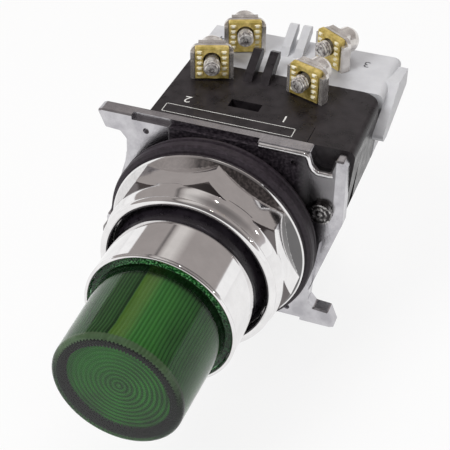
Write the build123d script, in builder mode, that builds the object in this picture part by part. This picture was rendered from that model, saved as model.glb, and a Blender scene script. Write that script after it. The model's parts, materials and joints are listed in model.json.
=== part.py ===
"""Illuminated push button with a light block and a two-pole contact block.

The button's axis is Y. The front, with the lens, faces -Y, and the terminals stand on top, at +Z.
The origin is on the axis, at the gasket's front face, where a panel would be clamped.
"""

import math
import os

from build123d import *

os.makedirs("parts", exist_ok=True)

# Clearances
fit_gap = 0.05
face_gap = 0.1
free_gap = 0.3

# Stroke of the button
stroke = 5.0

# Lamp, and the rings round it from the inside out
lamp_base_radius = 4.6
lamp_base_front = 11.5
lamp_base_rear = 1.0
lamp_pin_radius = 0.8
lamp_pin_reach = 0.6
lamp_pin_inset = 4.0
bulb_proud = 0.5
bulb_neck_inset = 0.5
bulb_neck_length = 1.8
bulb_front = 31.0
contact_button_radius = 1.9
shell_wall = 0.5
snout_wall = 1.0
snout_front = 8.5
spring_play = 0.7
spring_room = 1.1
spring_seat_gap = 1.6
rod_margin = 0.5
rod_radius = 1.5
plunger_margin = 0.65
sleeve_wall = 2.8

# Mounting nut, as distances outside the thread, and the gasket
sleeve_front = 8.1
gasket_thick = 3.9
gasket_play = 0.25
gasket_bevel = 0.8
groove_place = 0.62
groove_width = 0.8
groove_depth = 0.35
nut_flange_width = 3.95
nut_flange_thick = 1.0
nut_cone_length = 1.7
nut_flat_wall = 2.1
nut_turn = 36.7
nut_octagon_front = 6.9
nut_collar_wall = 2.3
nut_collar_rear = 8.4
nut_lip_front = 11.7
nut_lip_play = 0.25
nut_lip_width = 0.9

# Flange plate of the operator housing
seat_boss_width = 2.5
seat_boss_thick = 1.5
plate_thick = 2.8
plate_margin = 0.1
ear_inset = 0.6
dimple_x = 14.2
dimple_inset = 2.9
dimple_radius = 0.6
dimple_depth = 0.7
ring_seat_depth = 1.3
web_thick = 1.3
web_play = 0.4
lip_depth = 1.2
lip_height = 1.0
step_depth = 1.4

# Moving button
bezel_wall = 1.8
bezel_front = 23.4
bezel_rear = 13.6
bezel_recess_wall = 0.8
bezel_flange_thick = 1.2
bezel_flange_width = 1.0
lens_front = 41.1
lens_base_step = 0.8
lens_draft = 0.9
lens_shoulder_front = 22.8
lens_shoulder_thick = 2.2
lens_wall = 1.8
lens_face_thick = 1.9
lens_neck_length = 3.4
lens_neck_play = 0.25
lens_ribs = 40
lens_rib_depth = 0.35
lens_rings = 8
lens_ring_depth = 0.45
lens_rings_margin = 0.4
plunger_rear = 1.4
spring_flange_thick = 1.2
ring_thick = 0.9
ring_inset = 1.1
ring_groove_depth = 0.8
ring_opening = 6.0

# Boot seal
boot_wall = 0.75
boot_bead_thick = 1.1
boot_bead_margin = 0.8

# Return spring
spring_wire = 0.8
spring_turns = 5

# Light block and contact block, one outline for both
block_half_width = 14.5
block_reach = 24.6
lobe_taper = 1.4
block_half_height = 20.0
lobe_bottom = 3.9
block_corner = 1.4
lobe_corner = 2.6
cover_thick = 5.4
light_block_depth = 20.1
rear_corner = 4.6
contact_block_depth = 14.7
rear_cover_thick = 1.2
roof_thick = 2.1
roof_reach = 15.5

# Push rods, poles and mounting screws
screw_inset = 4.7
screw_z = 8.0
screw_radius = 2.1
screw_head_radius = 2.9
screw_head_thick = 2.2
screw_show = 1.2

chamber_inner_room = 3.8
chamber_outer_room = 3.0
chamber_wall = 4.0
ear_thick = 1.6
ear_bottom = 12.4

# Terminals
terminal_bottom = 0.3
clamp_width = 6.4
clamp_height = 6.6
clamp_thick = 1.3
clamp_bar_width = 1.3
clamp_bar_height = 0.55
clamp_bar_pitch = 1.15
clamp_bar_depth = 0.3
clamp_bar_x = 2.35
clamp_bars = 5
clip_wall = 0.8
clip_height = 6.4
clip_corner = 1.6
screw_height = 3.9
washer_side = 5.2
washer_thick = 1.0
terminal_screw_radius = 1.65
terminal_head_radius = 2.55
terminal_head_height = 3.8
head_rim = 1.8
terminal_tip = 2.2
slot_width = 0.7
slot_depth = 0.8

# Contacts inside the contact block
contact_wall = 1.7
strip_thick = 0.8
strip_width = 3.0
bridge_thick = 0.8
bridge_width = 4.0
bridge_half_length = 10.5
contact_inner_z = 7.5
run_z = 14.5
shoulder_radius = 3.0
spigot_radius = 1.7
contact_spring_radius = 2.3
contact_spring_wire = 0.5
contact_spring_turns = 4

# Radii from the lamp outwards, worked out from the sizes above
shell_bore = lamp_base_radius + face_gap
shell_radius = shell_bore + shell_wall
bulb_radius = lamp_base_radius + bulb_proud
bulb_neck_radius = lamp_base_radius - bulb_neck_inset
snout_radius = shell_radius + snout_wall
spring_flange_bore = snout_radius + spring_play
sleeve_bore = spring_flange_bore + spring_room
web_hole_radius = snout_radius + web_play
rod_x = sleeve_bore + rod_margin + rod_radius
plunger_radius = rod_x + rod_radius + plunger_margin
bore_radius = plunger_radius + fit_gap
ring_seat_radius = bore_radius + ring_seat_depth
thread_radius = bore_radius + sleeve_wall
bezel_radius = bore_radius + bezel_wall
bezel_recess_radius = bezel_radius - bezel_recess_wall
bezel_flange_bore = bore_radius - bezel_flange_width
neck_radius = bezel_flange_bore - lens_neck_play
lens_base_radius = bezel_recess_radius - lens_base_step
lens_front_radius = lens_base_radius - lens_draft
lens_rings_radius = lens_front_radius - lens_wall - lens_rings_margin
gasket_radius = block_half_height
seat_boss_radius = thread_radius + seat_boss_width
nut_flange_radius = thread_radius + nut_flange_width
nut_across_flats = 2 * (thread_radius + nut_flat_wall)
nut_collar_radius = thread_radius + nut_collar_wall
nut_lip_radius = thread_radius + nut_lip_play
boot_bead_bore = bore_radius + boot_bead_margin

# Places of the blocks, the screws and the chambers
lobe_foot = block_reach - lobe_taper
screw_x = block_reach - screw_inset
plate_top = block_half_height + plate_margin
ear_reach = block_reach - ear_inset
dimple_z = plate_top - dimple_inset
chamber_inner_x = rod_x - chamber_inner_room
chamber_outer_x = rod_x + chamber_outer_room
chamber_half_height = block_half_height - chamber_wall

# Depths along the axis
plate_front = gasket_thick + seat_boss_thick
plate_back = plate_front + plate_thick
web_front = plate_back - web_thick
seam = plate_back + cover_thick
light_back = plate_back + light_block_depth
contact_back = light_back + contact_block_depth
cover_front = contact_back - rear_cover_thick
lens_shoulder_rear = lens_shoulder_front - lens_shoulder_thick
plunger_front = lens_shoulder_rear - bezel_flange_thick
ring_front = plunger_rear - ring_inset - ring_thick
ear_points = [
    (light_back - 5.6, ear_bottom + 1.8),
    (light_back - 4.4, ear_bottom + 0.4),
    (light_back - 2.0, ear_bottom),
    (contact_back - rear_cover_thick, ear_bottom + 3.0),
    (contact_back - rear_cover_thick, block_half_height - 1.0),
    (light_back + 5.4, block_half_height),
]


def across(y):
    """Sketch plane across the axis at depth y. Its normal points to the front."""
    return Plane.XZ.offset(-y)


def half_turned(points):
    """The same points, turned half a turn about the button's axis."""
    return [(-x, -z) for x, z in points]


# Operator housing: flange plate, seat boss, threaded sleeve and spring web in one casting
plate_half = [
    (-ear_reach, plate_top - 0.4),
    (-ear_reach + 1.0, plate_top),
    (ear_reach - 7.0, plate_top),
    (ear_reach - 6.3, plate_top - 2.3),
    (ear_reach - 5.1, plate_top - 3.5),
    (ear_reach - 3.1, plate_top - 3.5),
    (ear_reach - 2.3, plate_top - 0.7),
    (ear_reach - 0.8, plate_top - 0.7),
    (ear_reach - 0.2, plate_top - 2.0),
    (ear_reach - 0.2, plate_top - 14.5),
    (ear_reach - 5.5, 8.5 - plate_top),
    (ear_reach - 5.6, 5.7 - plate_top),
    (ear_reach - 4.4, 4.2 - plate_top),
    (ear_reach - 1.4, 4.0 - plate_top),
]
plate_points = plate_half + half_turned(plate_half)
lip_bottom = plate_top - lip_height
top_lip = [(-17.0, plate_top + 1.0), (7.4, plate_top + 1.0), (7.4, lip_bottom), (-17.0, lip_bottom)]
side_step = [
    (ear_reach - 1.4, plate_top - 15.5),
    (ear_reach + 1.0, plate_top - 15.5),
    (ear_reach + 1.0, 9.1 - plate_top),
    (ear_reach - 5.4, 9.1 - plate_top),
    (ear_reach - 4.1, 0.5),
]

with BuildPart() as operator_housing:
    with BuildSketch(across(plate_back)) as plate_outline:
        with BuildLine():
            Polyline(plate_points, close=True)
        make_face()
        fillet(plate_outline.vertices(), radius=0.45)
    extrude(amount=plate_thick)
    chamfer(operator_housing.faces().sort_by(Axis.Y)[0].edges(), length=0.3)
    with BuildSketch(across(plate_front)):
        Circle(seat_boss_radius)
    extrude(amount=seat_boss_thick)
    with BuildSketch(across(gasket_thick)):
        Circle(thread_radius)
    extrude(amount=gasket_thick + sleeve_front)
    with BuildSketch(across(web_front)):
        Circle(bore_radius)
    extrude(amount=web_front + sleeve_front, mode=Mode.SUBTRACT)
    with BuildSketch(across(web_front)):
        Circle(ring_seat_radius)
    extrude(amount=web_front - ring_front + fit_gap, mode=Mode.SUBTRACT)
    with BuildSketch(across(plate_back)):
        Circle(web_hole_radius)
        with Locations((-rod_x, 0), (rod_x, 0)):
            Circle(rod_radius + face_gap)
    extrude(amount=web_thick, mode=Mode.SUBTRACT)
    with BuildSketch(across(plate_back)):
        with Locations((screw_x, screw_z), (-screw_x, -screw_z)):
            Circle(screw_radius + fit_gap)
    extrude(amount=plate_thick, mode=Mode.SUBTRACT)
    with BuildSketch(across(plate_front)):
        with GridLocations(2 * dimple_x, 2 * dimple_z, 2, 2):
            Circle(dimple_radius)
    extrude(amount=-dimple_depth, mode=Mode.SUBTRACT)
    for outline, depth in (
        (top_lip, lip_depth),
        (half_turned(top_lip), lip_depth),
        (side_step, step_depth),
        (half_turned(side_step), step_depth),
    ):
        with BuildSketch(across(plate_front)):
            with BuildLine():
                Polyline(outline, close=True)
            make_face()
        extrude(amount=-depth, mode=Mode.SUBTRACT)
operator_housing.part.label = "operator_housing"
export_step(operator_housing.part, "parts/operator_housing.step")

# Panel gasket with a bevelled rim and a groove round it
gasket_bore = thread_radius + gasket_play
groove_front = gasket_thick * groove_place - groove_width / 2
groove_floor = gasket_radius - groove_depth
with BuildPart() as panel_gasket:
    with BuildSketch(Plane.XY):
        with BuildLine():
            Polyline(
                (gasket_bore, 0),
                (gasket_radius - gasket_bevel, 0),
                (gasket_radius - gasket_bevel / 4, gasket_bevel / 3),
                (gasket_radius, gasket_bevel),
                (gasket_radius, groove_front),
                (groove_floor, groove_front + groove_width / 3),
                (groove_floor, groove_front + groove_width * 2 / 3),
                (gasket_radius, groove_front + groove_width),
                (gasket_radius, gasket_thick - gasket_bevel),
                (gasket_radius - gasket_bevel / 4, gasket_thick - gasket_bevel / 3),
                (gasket_radius - gasket_bevel, gasket_thick),
                (gasket_bore, gasket_thick),
                close=True,
            )
        make_face()
    revolve(axis=Axis.Y)
panel_gasket.part.label = "panel_gasket"
export_step(panel_gasket.part, "parts/panel_gasket.step")

# Mounting nut: octagon, flange with a conical flare, and a rounded collar
nut_corner_radius = nut_across_flats / 2 / math.cos(math.pi / 8)
nut_bore = thread_radius + fit_gap
with BuildPart() as mounting_nut:
    with BuildSketch(across(0)):
        RegularPolygon(nut_across_flats / 2, 8, major_radius=False, rotation=nut_turn)
    extrude(amount=nut_octagon_front + 1.0)
    with BuildSketch(Plane.XY):
        with BuildLine():
            Polyline(
                (nut_bore, -nut_octagon_front - 1.2),
                (nut_bore + 0.6, -nut_octagon_front - 1.2),
                (nut_collar_radius - 0.1, -nut_octagon_front - 1.05),
                (nut_corner_radius + 0.2, -nut_octagon_front + 0.35),
                (nut_corner_radius + 0.2, 1.0),
                (nut_bore, 1.0),
                close=True,
            )
        make_face()
    revolve(axis=Axis.Y, mode=Mode.INTERSECT)
    with BuildSketch(Plane.XY) as nut_section:
        with BuildLine():
            Polyline(
                (nut_bore, 0),
                (nut_flange_radius - 0.25, 0),
                (nut_flange_radius, -0.25),
                (nut_flange_radius, -nut_flange_thick),
                (nut_flange_radius - 0.25, -nut_flange_thick - 0.15),
                (nut_across_flats / 2 - 0.1, -nut_flange_thick - nut_cone_length),
                (nut_across_flats / 2 - 0.1, -nut_octagon_front),
                (nut_collar_radius, -nut_octagon_front - 0.5),
                (nut_collar_radius, -nut_collar_rear),
                (nut_lip_radius + nut_lip_width + 0.35, -nut_lip_front + 0.9),
                (nut_lip_radius + nut_lip_width, -nut_lip_front + 0.25),
                (nut_lip_radius + nut_lip_width - 0.3, -nut_lip_front),
                (nut_lip_radius + 0.25, -nut_lip_front),
                (nut_lip_radius, -nut_lip_front + 0.3),
                (nut_lip_radius, -sleeve_front),
                (nut_bore, -sleeve_front),
                close=True,
            )
        make_face()
    revolve(axis=Axis.Y)
mounting_nut.part.label = "mounting_nut"
export_step(mounting_nut.part, "parts/mounting_nut.step")

# Button bezel: a turned ring whose inner flange is clamped under the lens
with BuildPart() as button_bezel:
    with BuildSketch(Plane.XY) as bezel_section:
        with BuildLine():
            Polyline(
                (plunger_radius + fit_gap, -bezel_rear),
                (bezel_radius - 0.3, -bezel_rear),
                (bezel_radius, -bezel_rear - 0.3),
                (bezel_radius, -bezel_front + 0.4),
                (bezel_radius - 0.3, -bezel_front),
                (bezel_recess_radius, -bezel_front + 0.1),
                (bezel_recess_radius, -lens_shoulder_rear),
                (bezel_flange_bore, -lens_shoulder_rear),
                (bezel_flange_bore, -plunger_front),
                (plunger_radius + fit_gap, -plunger_front),
                close=True,
            )
        make_face()
    revolve(axis=Axis.Y)
button_bezel.part.label = "button_bezel"
export_step(button_bezel.part, "parts/button_bezel.step")

# Lens: tapered cup with a shoulder, a screwed neck, flutes inside and rings behind its front
lens_inside = lens_front_radius - lens_wall
lens_inner_face = -lens_front + lens_face_thick
neck_rear = lens_shoulder_rear - lens_neck_length
with BuildPart() as lens:
    with BuildSketch(Plane.XY) as lens_outside:
        with BuildLine():
            Polyline(
                (0, -lens_front),
                (lens_front_radius - 0.9, -lens_front),
                (lens_front_radius - 0.25, -lens_front + 0.3),
                (lens_front_radius, -lens_front + 1.0),
                (lens_base_radius, -lens_shoulder_front),
                (bezel_recess_radius - fit_gap, -lens_shoulder_front),
                (bezel_recess_radius - fit_gap, -lens_shoulder_rear),
                (neck_radius, -lens_shoulder_rear),
                (neck_radius, -neck_rear),
                (0, -neck_rear),
                close=True,
            )
        make_face()
    revolve(axis=Axis.Y)
    with BuildSketch(Plane.XY):
        with BuildLine():
            Polyline(
                (0, lens_inner_face),
                (lens_inside, lens_inner_face),
                (neck_radius - 1.0, -lens_shoulder_rear - 1.0),
                (neck_radius - 1.0, -neck_rear),
                (0, -neck_rear),
                close=True,
            )
        make_face()
    revolve(axis=Axis.Y, mode=Mode.SUBTRACT)
    ring_pitch = lens_rings_radius / lens_rings
    with BuildSketch(Plane.XY):
        for ring in range(lens_rings):
            ring_outer = (ring + 1) * ring_pitch
            with BuildLine():
                Polyline(
                    (ring_outer, lens_inner_face),
                    (ring_outer, lens_inner_face - lens_ring_depth),
                    (ring * ring_pitch, lens_inner_face),
                    close=True,
                )
            make_face()
    revolve(axis=Axis.Y, mode=Mode.SUBTRACT)
    flutes = []
    for number in range(2 * lens_ribs):
        angle = math.pi * number / lens_ribs
        reach = lens_inside + (lens_rib_depth if number % 2 else -lens_rib_depth)
        flutes.append((reach * math.cos(angle), reach * math.sin(angle)))
    with BuildSketch(across(-lens_shoulder_front)):
        with BuildLine():
            Polyline(flutes, close=True)
        make_face()
    extrude(amount=-lens_shoulder_front - lens_inner_face, mode=Mode.SUBTRACT)
lens.part.label = "lens"
export_step(lens.part, "parts/lens.step")

# Plunger sleeve: carries bezel and lens, slides in the housing's bore
spring_front = -(plunger_front - lens_neck_length - spring_seat_gap)
with BuildPart() as plunger_sleeve:
    with BuildSketch(Plane.XY):
        with BuildLine():
            Polyline(
                (neck_radius + fit_gap, -plunger_front),
                (plunger_radius, -plunger_front),
                (plunger_radius, plunger_rear - 0.3),
                (plunger_radius - 0.3, plunger_rear),
                (sleeve_bore, plunger_rear),
                (sleeve_bore, spring_front),
                (spring_flange_bore, spring_front),
                (spring_flange_bore, spring_front - spring_flange_thick),
                (neck_radius + fit_gap, spring_front - spring_flange_thick),
                close=True,
            )
        make_face()
    revolve(axis=Axis.Y)
    with BuildSketch(Plane.XY):
        with Locations((plunger_radius - ring_groove_depth, ring_front - fit_gap)):
            Rectangle(2.0, ring_thick + 2 * fit_gap, align=(Align.MIN, Align.MIN))
    revolve(axis=Axis.Y, mode=Mode.SUBTRACT)
plunger_sleeve.part.label = "plunger_sleeve"
export_step(plunger_sleeve.part, "parts/plunger_sleeve.step")

# Retaining ring, open at the bottom, in the plunger's groove
with BuildPart() as retaining_ring:
    with BuildSketch(across(ring_front + ring_thick)):
        Circle(ring_seat_radius - free_gap)
        Circle(plunger_radius - ring_groove_depth + fit_gap, mode=Mode.SUBTRACT)
        with Locations((0, -ring_seat_radius)):
            Rectangle(ring_opening, ring_seat_radius, mode=Mode.SUBTRACT)
    extrude(amount=ring_thick)
retaining_ring.part.label = "retaining_ring"
export_step(retaining_ring.part, "parts/retaining_ring.step")

# Boot seal: bead on the sleeve's end, a cone forward, and a lip round the plunger
boot_front = bezel_rear - face_gap
with BuildPart() as boot_seal:
    with BuildSketch(Plane.XY) as boot_section:
        with BuildLine():
            Polyline(
                (boot_bead_bore, -sleeve_front),
                (nut_lip_radius - 0.15, -sleeve_front),
                (nut_lip_radius - 0.15, -sleeve_front - boot_bead_thick),
                (bezel_radius + 0.45, -sleeve_front - boot_bead_thick - 0.4),
                (bezel_radius - 0.3, -boot_front + 0.7),
                (bezel_radius - 0.7, -boot_front),
                (plunger_radius + face_gap, -boot_front),
                (plunger_radius + face_gap, -boot_front + boot_wall),
                (bezel_radius - 1.2, -boot_front + boot_wall + 0.3),
                (bezel_radius - 0.5, -sleeve_front - boot_bead_thick - 0.6),
                (boot_bead_bore, -sleeve_front - boot_bead_thick + 0.1),
                close=True,
            )
        make_face()
    revolve(axis=Axis.Y)
boot_seal.part.label = "boot_seal"
export_step(boot_seal.part, "parts/boot_seal.step")


def coil(radius, wire, y_start, y_end, turns, x=0.0):
    """Round-wire spring along Y, clear of its two seats by half a wire."""
    length = y_end - y_start - wire
    with BuildPart() as spring:
        with BuildLine() as path:
            Helix(
                pitch=length / turns,
                height=length,
                radius=radius,
                center=(x, y_start + wire / 2, 0),
                direction=(0, 1, 0),
            )
        with BuildSketch(Plane(origin=path.line @ 0, z_dir=path.line % 0)):
            RegularPolygon(wire / 2, 6)
        sweep(path=path.line, is_frenet=True)
    return spring


# Return spring round the lamp snout, between the plunger's inner flange and the web
return_spring = coil(
    (sleeve_bore + spring_flange_bore) / 2 - 0.15,
    spring_wire,
    spring_front,
    web_front,
    spring_turns,
)
return_spring.part.label = "return_spring"
export_step(return_spring.part, "parts/return_spring.step")

# Lamp bulb, a sealed glass envelope
with BuildPart() as lamp_bulb:
    with BuildSketch(Plane.XY):
        with BuildLine():
            Polyline(
                (0, -lamp_base_front),
                (bulb_neck_radius, -lamp_base_front),
                (bulb_neck_radius, -lamp_base_front - bulb_neck_length),
                (bulb_radius, -lamp_base_front - 2 * bulb_neck_length),
                *[
                    (
                        bulb_radius * math.cos(math.radians(angle)),
                        -bulb_front + bulb_radius * (1 - math.sin(math.radians(angle))),
                    )
                    for angle in range(0, 91, 18)
                ],
                close=True,
            )
        make_face()
    revolve(axis=Axis.Y)
lamp_bulb.part.label = "lamp_bulb"
export_step(lamp_bulb.part, "parts/lamp_bulb.step")

# Lamp base: bayonet cap with two pins
with BuildPart() as lamp_base:
    with BuildSketch(Plane.XY):
        with BuildLine():
            Polyline(
                (0, -lamp_base_front),
                (lamp_base_radius, -lamp_base_front),
                (lamp_base_radius, -lamp_base_rear - 0.6),
                (lamp_base_radius - 0.6, -lamp_base_rear),
                (1.3, -lamp_base_rear),
                (0.8, -lamp_base_rear + 0.6),
                (0, -lamp_base_rear + 0.6),
                close=True,
            )
        make_face()
    revolve(axis=Axis.Y)
    with BuildSketch(Plane.YZ.offset(-lamp_base_radius - lamp_pin_reach)):
        with Locations((-lamp_base_rear - lamp_pin_inset, 0)):
            Circle(lamp_pin_radius)
    extrude(amount=2 * (lamp_base_radius + lamp_pin_reach))
lamp_base.part.label = "lamp_base"
export_step(lamp_base.part, "parts/lamp_base.step")

# Lamp shell: metal holder with two open slots for the bayonet pins
shell_rear = seam + 2.0
with BuildPart() as lamp_shell:
    with BuildSketch(across(shell_rear)):
        Circle(shell_radius)
        Circle(shell_bore, mode=Mode.SUBTRACT)
    extrude(amount=shell_rear + snout_front + 0.6)
    with BuildSketch(Plane.XY.offset(-lamp_pin_radius - face_gap)):
        with Locations((0, -snout_front - 0.6)):
            Rectangle(
                4 * shell_radius,
                snout_front + 0.6 - lamp_base_rear - lamp_pin_inset + lamp_pin_radius + face_gap,
                align=(Align.CENTER, Align.MIN),
            )
    extrude(amount=2 * (lamp_pin_radius + face_gap), mode=Mode.SUBTRACT)
lamp_shell.part.label = "lamp_shell"
export_step(lamp_shell.part, "parts/lamp_shell.step")

# Insulator that holds the centre contact in the shell
insulator_front = 1.5
insulator_rear = 5.0
stud_radius = 1.0
stud_rear = shell_rear + 3.0
with BuildPart() as lamp_insulator:
    with BuildSketch(across(insulator_rear)):
        Circle(shell_bore - fit_gap)
        Circle(stud_radius + fit_gap, mode=Mode.SUBTRACT)
    extrude(amount=insulator_rear - insulator_front)
lamp_insulator.part.label = "lamp_insulator"
export_step(lamp_insulator.part, "parts/lamp_insulator.step")

# Centre contact: a headed stud under the lamp's tip
with BuildPart() as lamp_centre_contact:
    with BuildSketch(Plane.XY):
        with BuildLine():
            Polyline(
                (0, -lamp_base_rear + 0.6),
                (contact_button_radius, -lamp_base_rear + 0.6),
                (contact_button_radius, insulator_front),
                (stud_radius, insulator_front),
                (stud_radius, stud_rear),
                (0, stud_rear),
                close=True,
            )
        make_face()
    revolve(axis=Axis.Y)
lamp_centre_contact.part.label = "lamp_centre_contact"
export_step(lamp_centre_contact.part, "parts/lamp_centre_contact.step")

# Outline shared by both blocks: a middle band with one lobe each side, alike after a half turn
block_half = [
    (-block_half_width, block_half_height),
    (block_reach, block_half_height),
    (lobe_foot, lobe_bottom),
    (block_half_width, lobe_bottom),
]
block_points = block_half + half_turned(block_half)


def block_face(plane):
    """Sketch of the block outline on a plane, with its corners rounded."""
    with BuildSketch(plane) as face:
        with BuildLine():
            Polyline(block_points, close=True)
        make_face()
        outer = [v for v in face.vertices() if abs(v.X) > block_half_width + 1 and abs(v.Y) > lobe_bottom + 1]
        fillet(outer, radius=block_corner)
        inner = [v for v in face.vertices() if abs(v.X) > lobe_foot - 0.5 and abs(v.Y) < lobe_bottom + 0.5]
        fillet(inner, radius=lobe_corner)
    return face.sketch


# Where each terminal stands: name, foot centre x and y, turn in degrees, top or bottom
light_terminals = [
    ("light_left", -7.7, light_back - 6.0, 20.0, 1),
    ("light_right", 10.6, light_back - 6.5, -20.0, 1),
]
contact_terminals = [
    ("no_top", -5.2, contact_back - 8.9, 22.0, 1),
    ("nc_top", 11.4, contact_back - 7.8, -34.0, 1),
    ("nc_bottom", -5.2, contact_back - 8.9, 22.0, -1),
    ("no_bottom", 11.4, contact_back - 7.8, -34.0, -1),
]


def foot_plane(x, y, turn, side):
    """Plane at a terminal's foot: local x along its width, local y outwards, normal to its front."""
    angle = math.radians(turn)
    width_dir = (math.cos(angle) * side, math.sin(angle), 0)
    front_dir = (math.sin(angle) * side, -math.cos(angle), 0)
    origin = (x * side, y, (block_half_height + terminal_bottom) * side)
    return Plane(origin=origin, x_dir=width_dir, z_dir=front_dir)


clip_front = clamp_thick + face_gap
washer_front = clip_front + clip_wall
head_front = washer_front + washer_thick
screw_hole = terminal_screw_radius + fit_gap

# Light block housing: the rear of the black block, with a roof and a floor that reach to the plate
conductor_width = 1.9
conductor_x = -1.95
conductor_reach = 5.4
conductor_z = chamber_half_height - 1.5
conductor_rear = -clip_front - clip_wall / 2
finger_width = 1.7
light_finger_xs = (-1.1, 2.3)
contact_finger_xs = (2.4, 5.2)
finger_reach = 2.8
slot_x = 1.3
slot_y = plate_back + 7.7
slot_length = 6.0
slot_across = 2.5
slot_floor = 3.0
finger_points = [
    (-5.0, -0.5),
    (-0.6, -0.5),
    (-0.6, 0.1),
    (finger_reach, 2.2),
    (finger_reach, 3.6),
    (finger_reach - 1.2, 4.0),
    (-3.2, 1.4),
]
roof = [
    (-block_half_width, block_half_height),
    (roof_reach, block_half_height),
    (roof_reach, block_half_height - roof_thick),
    (-block_half_width, block_half_height - roof_thick),
]

def foot_side_plane(x, y, turn):
    """Plane along a top terminal's front direction: local x to its front, local y up from the axis."""
    angle = math.radians(turn)
    front_dir = (math.sin(angle), -math.cos(angle), 0)
    side_dir = (-math.cos(angle), -math.sin(angle), 0)
    return Plane(origin=(x, y, 0), x_dir=front_dir, z_dir=side_dir)


with BuildPart() as light_block_housing:
    extrude(block_face(across(light_back)), amount=light_back - seam)
    with BuildSketch(Plane.XY.offset(-block_half_height)) as plan:
        with Locations((0, light_back)):
            Rectangle(2 * block_reach, 2 * light_block_depth, align=(Align.CENTER, Align.MAX))
        fillet(plan.vertices().group_by(Axis.Y)[-1], radius=rear_corner)
    extrude(amount=2 * block_half_height, mode=Mode.INTERSECT)
    for outline in (roof, half_turned(roof)):
        with BuildSketch(across(seam)):
            with BuildLine():
                Polyline(outline, close=True)
            make_face()
        extrude(amount=seam - plate_back)
    with BuildSketch(across(light_back - 2.0)):
        Rectangle(2 * block_half_width - 4, 2 * chamber_half_height)
    extrude(amount=light_back - 2.0 - seam, mode=Mode.SUBTRACT)
    with BuildSketch(across(light_back)):
        with Locations((-rod_x, 0), (rod_x, 0)):
            Circle(rod_radius + face_gap)
        with Locations((screw_x, screw_z), (-screw_x, -screw_z)):
            Circle(screw_radius + free_gap)
    extrude(amount=light_back - seam, mode=Mode.SUBTRACT)
    for name, x, y, turn, side in light_terminals:
        with BuildSketch(foot_side_plane(x, y, turn).offset(-conductor_x - conductor_width / 2 - fit_gap)):
            with Locations((conductor_rear, block_half_height)):
                Rectangle(
                    strip_thick + 2 * fit_gap,
                    block_half_height - chamber_half_height + 1.0,
                    align=(Align.CENTER, Align.MAX),
                )
        extrude(amount=conductor_width + 2 * fit_gap, mode=Mode.SUBTRACT)
    with BuildSketch(Plane.XY.offset(block_half_height)):
        with Locations((slot_x, slot_y)):
            Rectangle(slot_length, slot_across)
    extrude(amount=-slot_floor, mode=Mode.SUBTRACT)
    for x in light_finger_xs:
        with BuildSketch(Plane.YZ.offset(x)):
            with BuildLine():
                Polyline([(light_back + y, block_half_height + z) for y, z in finger_points], close=True)
            make_face()
        extrude(amount=finger_width / 2, both=True)
light_block_housing.part.label = "light_block_housing"
export_step(light_block_housing.part, "parts/light_block_housing.step")

# Light block cover: the front of the black block under the roof, with the lamp snout
wedge = [(seam, block_half_height - 5.5), (seam, lobe_bottom + 2.4), (seam - 3.4, lobe_bottom + 2.4)]
with BuildPart() as light_block_cover:
    extrude(block_face(across(seam)), amount=seam - plate_back)
    for sign in (1, -1):
        with BuildSketch(across(seam)):
            with Locations((sign * (roof_reach - block_half_width) / 2, sign * block_half_height)):
                Rectangle(roof_reach + block_half_width + 2 * face_gap, 2 * (roof_thick + face_gap))
        extrude(amount=seam - plate_back, mode=Mode.SUBTRACT)
        with BuildSketch(Plane.YZ.offset(sign * (block_reach + 0.5))):
            with BuildLine():
                Polyline([(y, sign * z) for y, z in wedge], close=True)
            make_face()
        extrude(amount=-sign * 2.6, mode=Mode.SUBTRACT)
    with BuildSketch(across(plate_back)):
        Circle(snout_radius)
    extrude(amount=plate_back + snout_front)
    with BuildSketch(across(seam)):
        Circle(shell_radius + fit_gap)
    extrude(amount=seam + snout_front, mode=Mode.SUBTRACT)
    with BuildSketch(across(seam)):
        with Locations((-rod_x, 0), (rod_x, 0)):
            Circle(rod_radius + face_gap)
        with Locations((screw_x, screw_z), (-screw_x, -screw_z)):
            Circle(screw_radius + free_gap)
    extrude(amount=seam - plate_back, mode=Mode.SUBTRACT)
light_block_cover.part.label = "light_block_cover"
export_step(light_block_cover.part, "parts/light_block_cover.step")

# Conductor strips of the lamp: down under each terminal, forward under the roof, then to the lamp
conductor_ends = {"light_left": (shell_radius, shell_rear), "light_right": (stud_radius, stud_rear)}
for name, x, y, turn, side in light_terminals:
    end_z, end_y = conductor_ends[name]
    side_plane = foot_side_plane(x, y, turn)
    with BuildPart() as conductor:
        with BuildSketch(side_plane.offset(-conductor_x - conductor_width / 2)):
            with BuildLine():
                FilletPolyline(
                    (conductor_rear, block_half_height),
                    (conductor_rear, conductor_z),
                    (conductor_reach, conductor_z),
                    (conductor_reach, end_z),
                    radius=0.5,
                )
            trace(line_width=strip_thick)
        extrude(amount=conductor_width)
        leg = side_plane.offset(-conductor_x).from_local_coords((conductor_reach, 0, 0))
        tab_front = min(leg.Y, end_y) - conductor_width / 2
        tab_rear = leg.Y + conductor_width / 2
        with BuildSketch(Plane.XY.offset(end_z)):
            with Locations((leg.X / 2, (tab_front + tab_rear) / 2)):
                Rectangle(abs(leg.X) + conductor_width, tab_rear - tab_front)
        extrude(amount=strip_thick)
    conductor.part.label = f"{name}_conductor"
    export_step(conductor.part, f"parts/{name}_conductor.step")

# Push rods through the light block, from the plunger's rear to the contact block
for rod_name, sign in (("no_push_rod", -1), ("nc_push_rod", 1)):
    with BuildPart() as push_rod:
        with BuildSketch(across(light_back)):
            with Locations((sign * rod_x, 0)):
                Circle(rod_radius)
        extrude(amount=light_back - plunger_rear - free_gap)
        chamfer(push_rod.faces().sort_by(Axis.Y)[0].edges(), length=0.4)
    push_rod.part.label = rod_name
    export_step(push_rod.part, f"parts/{rod_name}.step")

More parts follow.
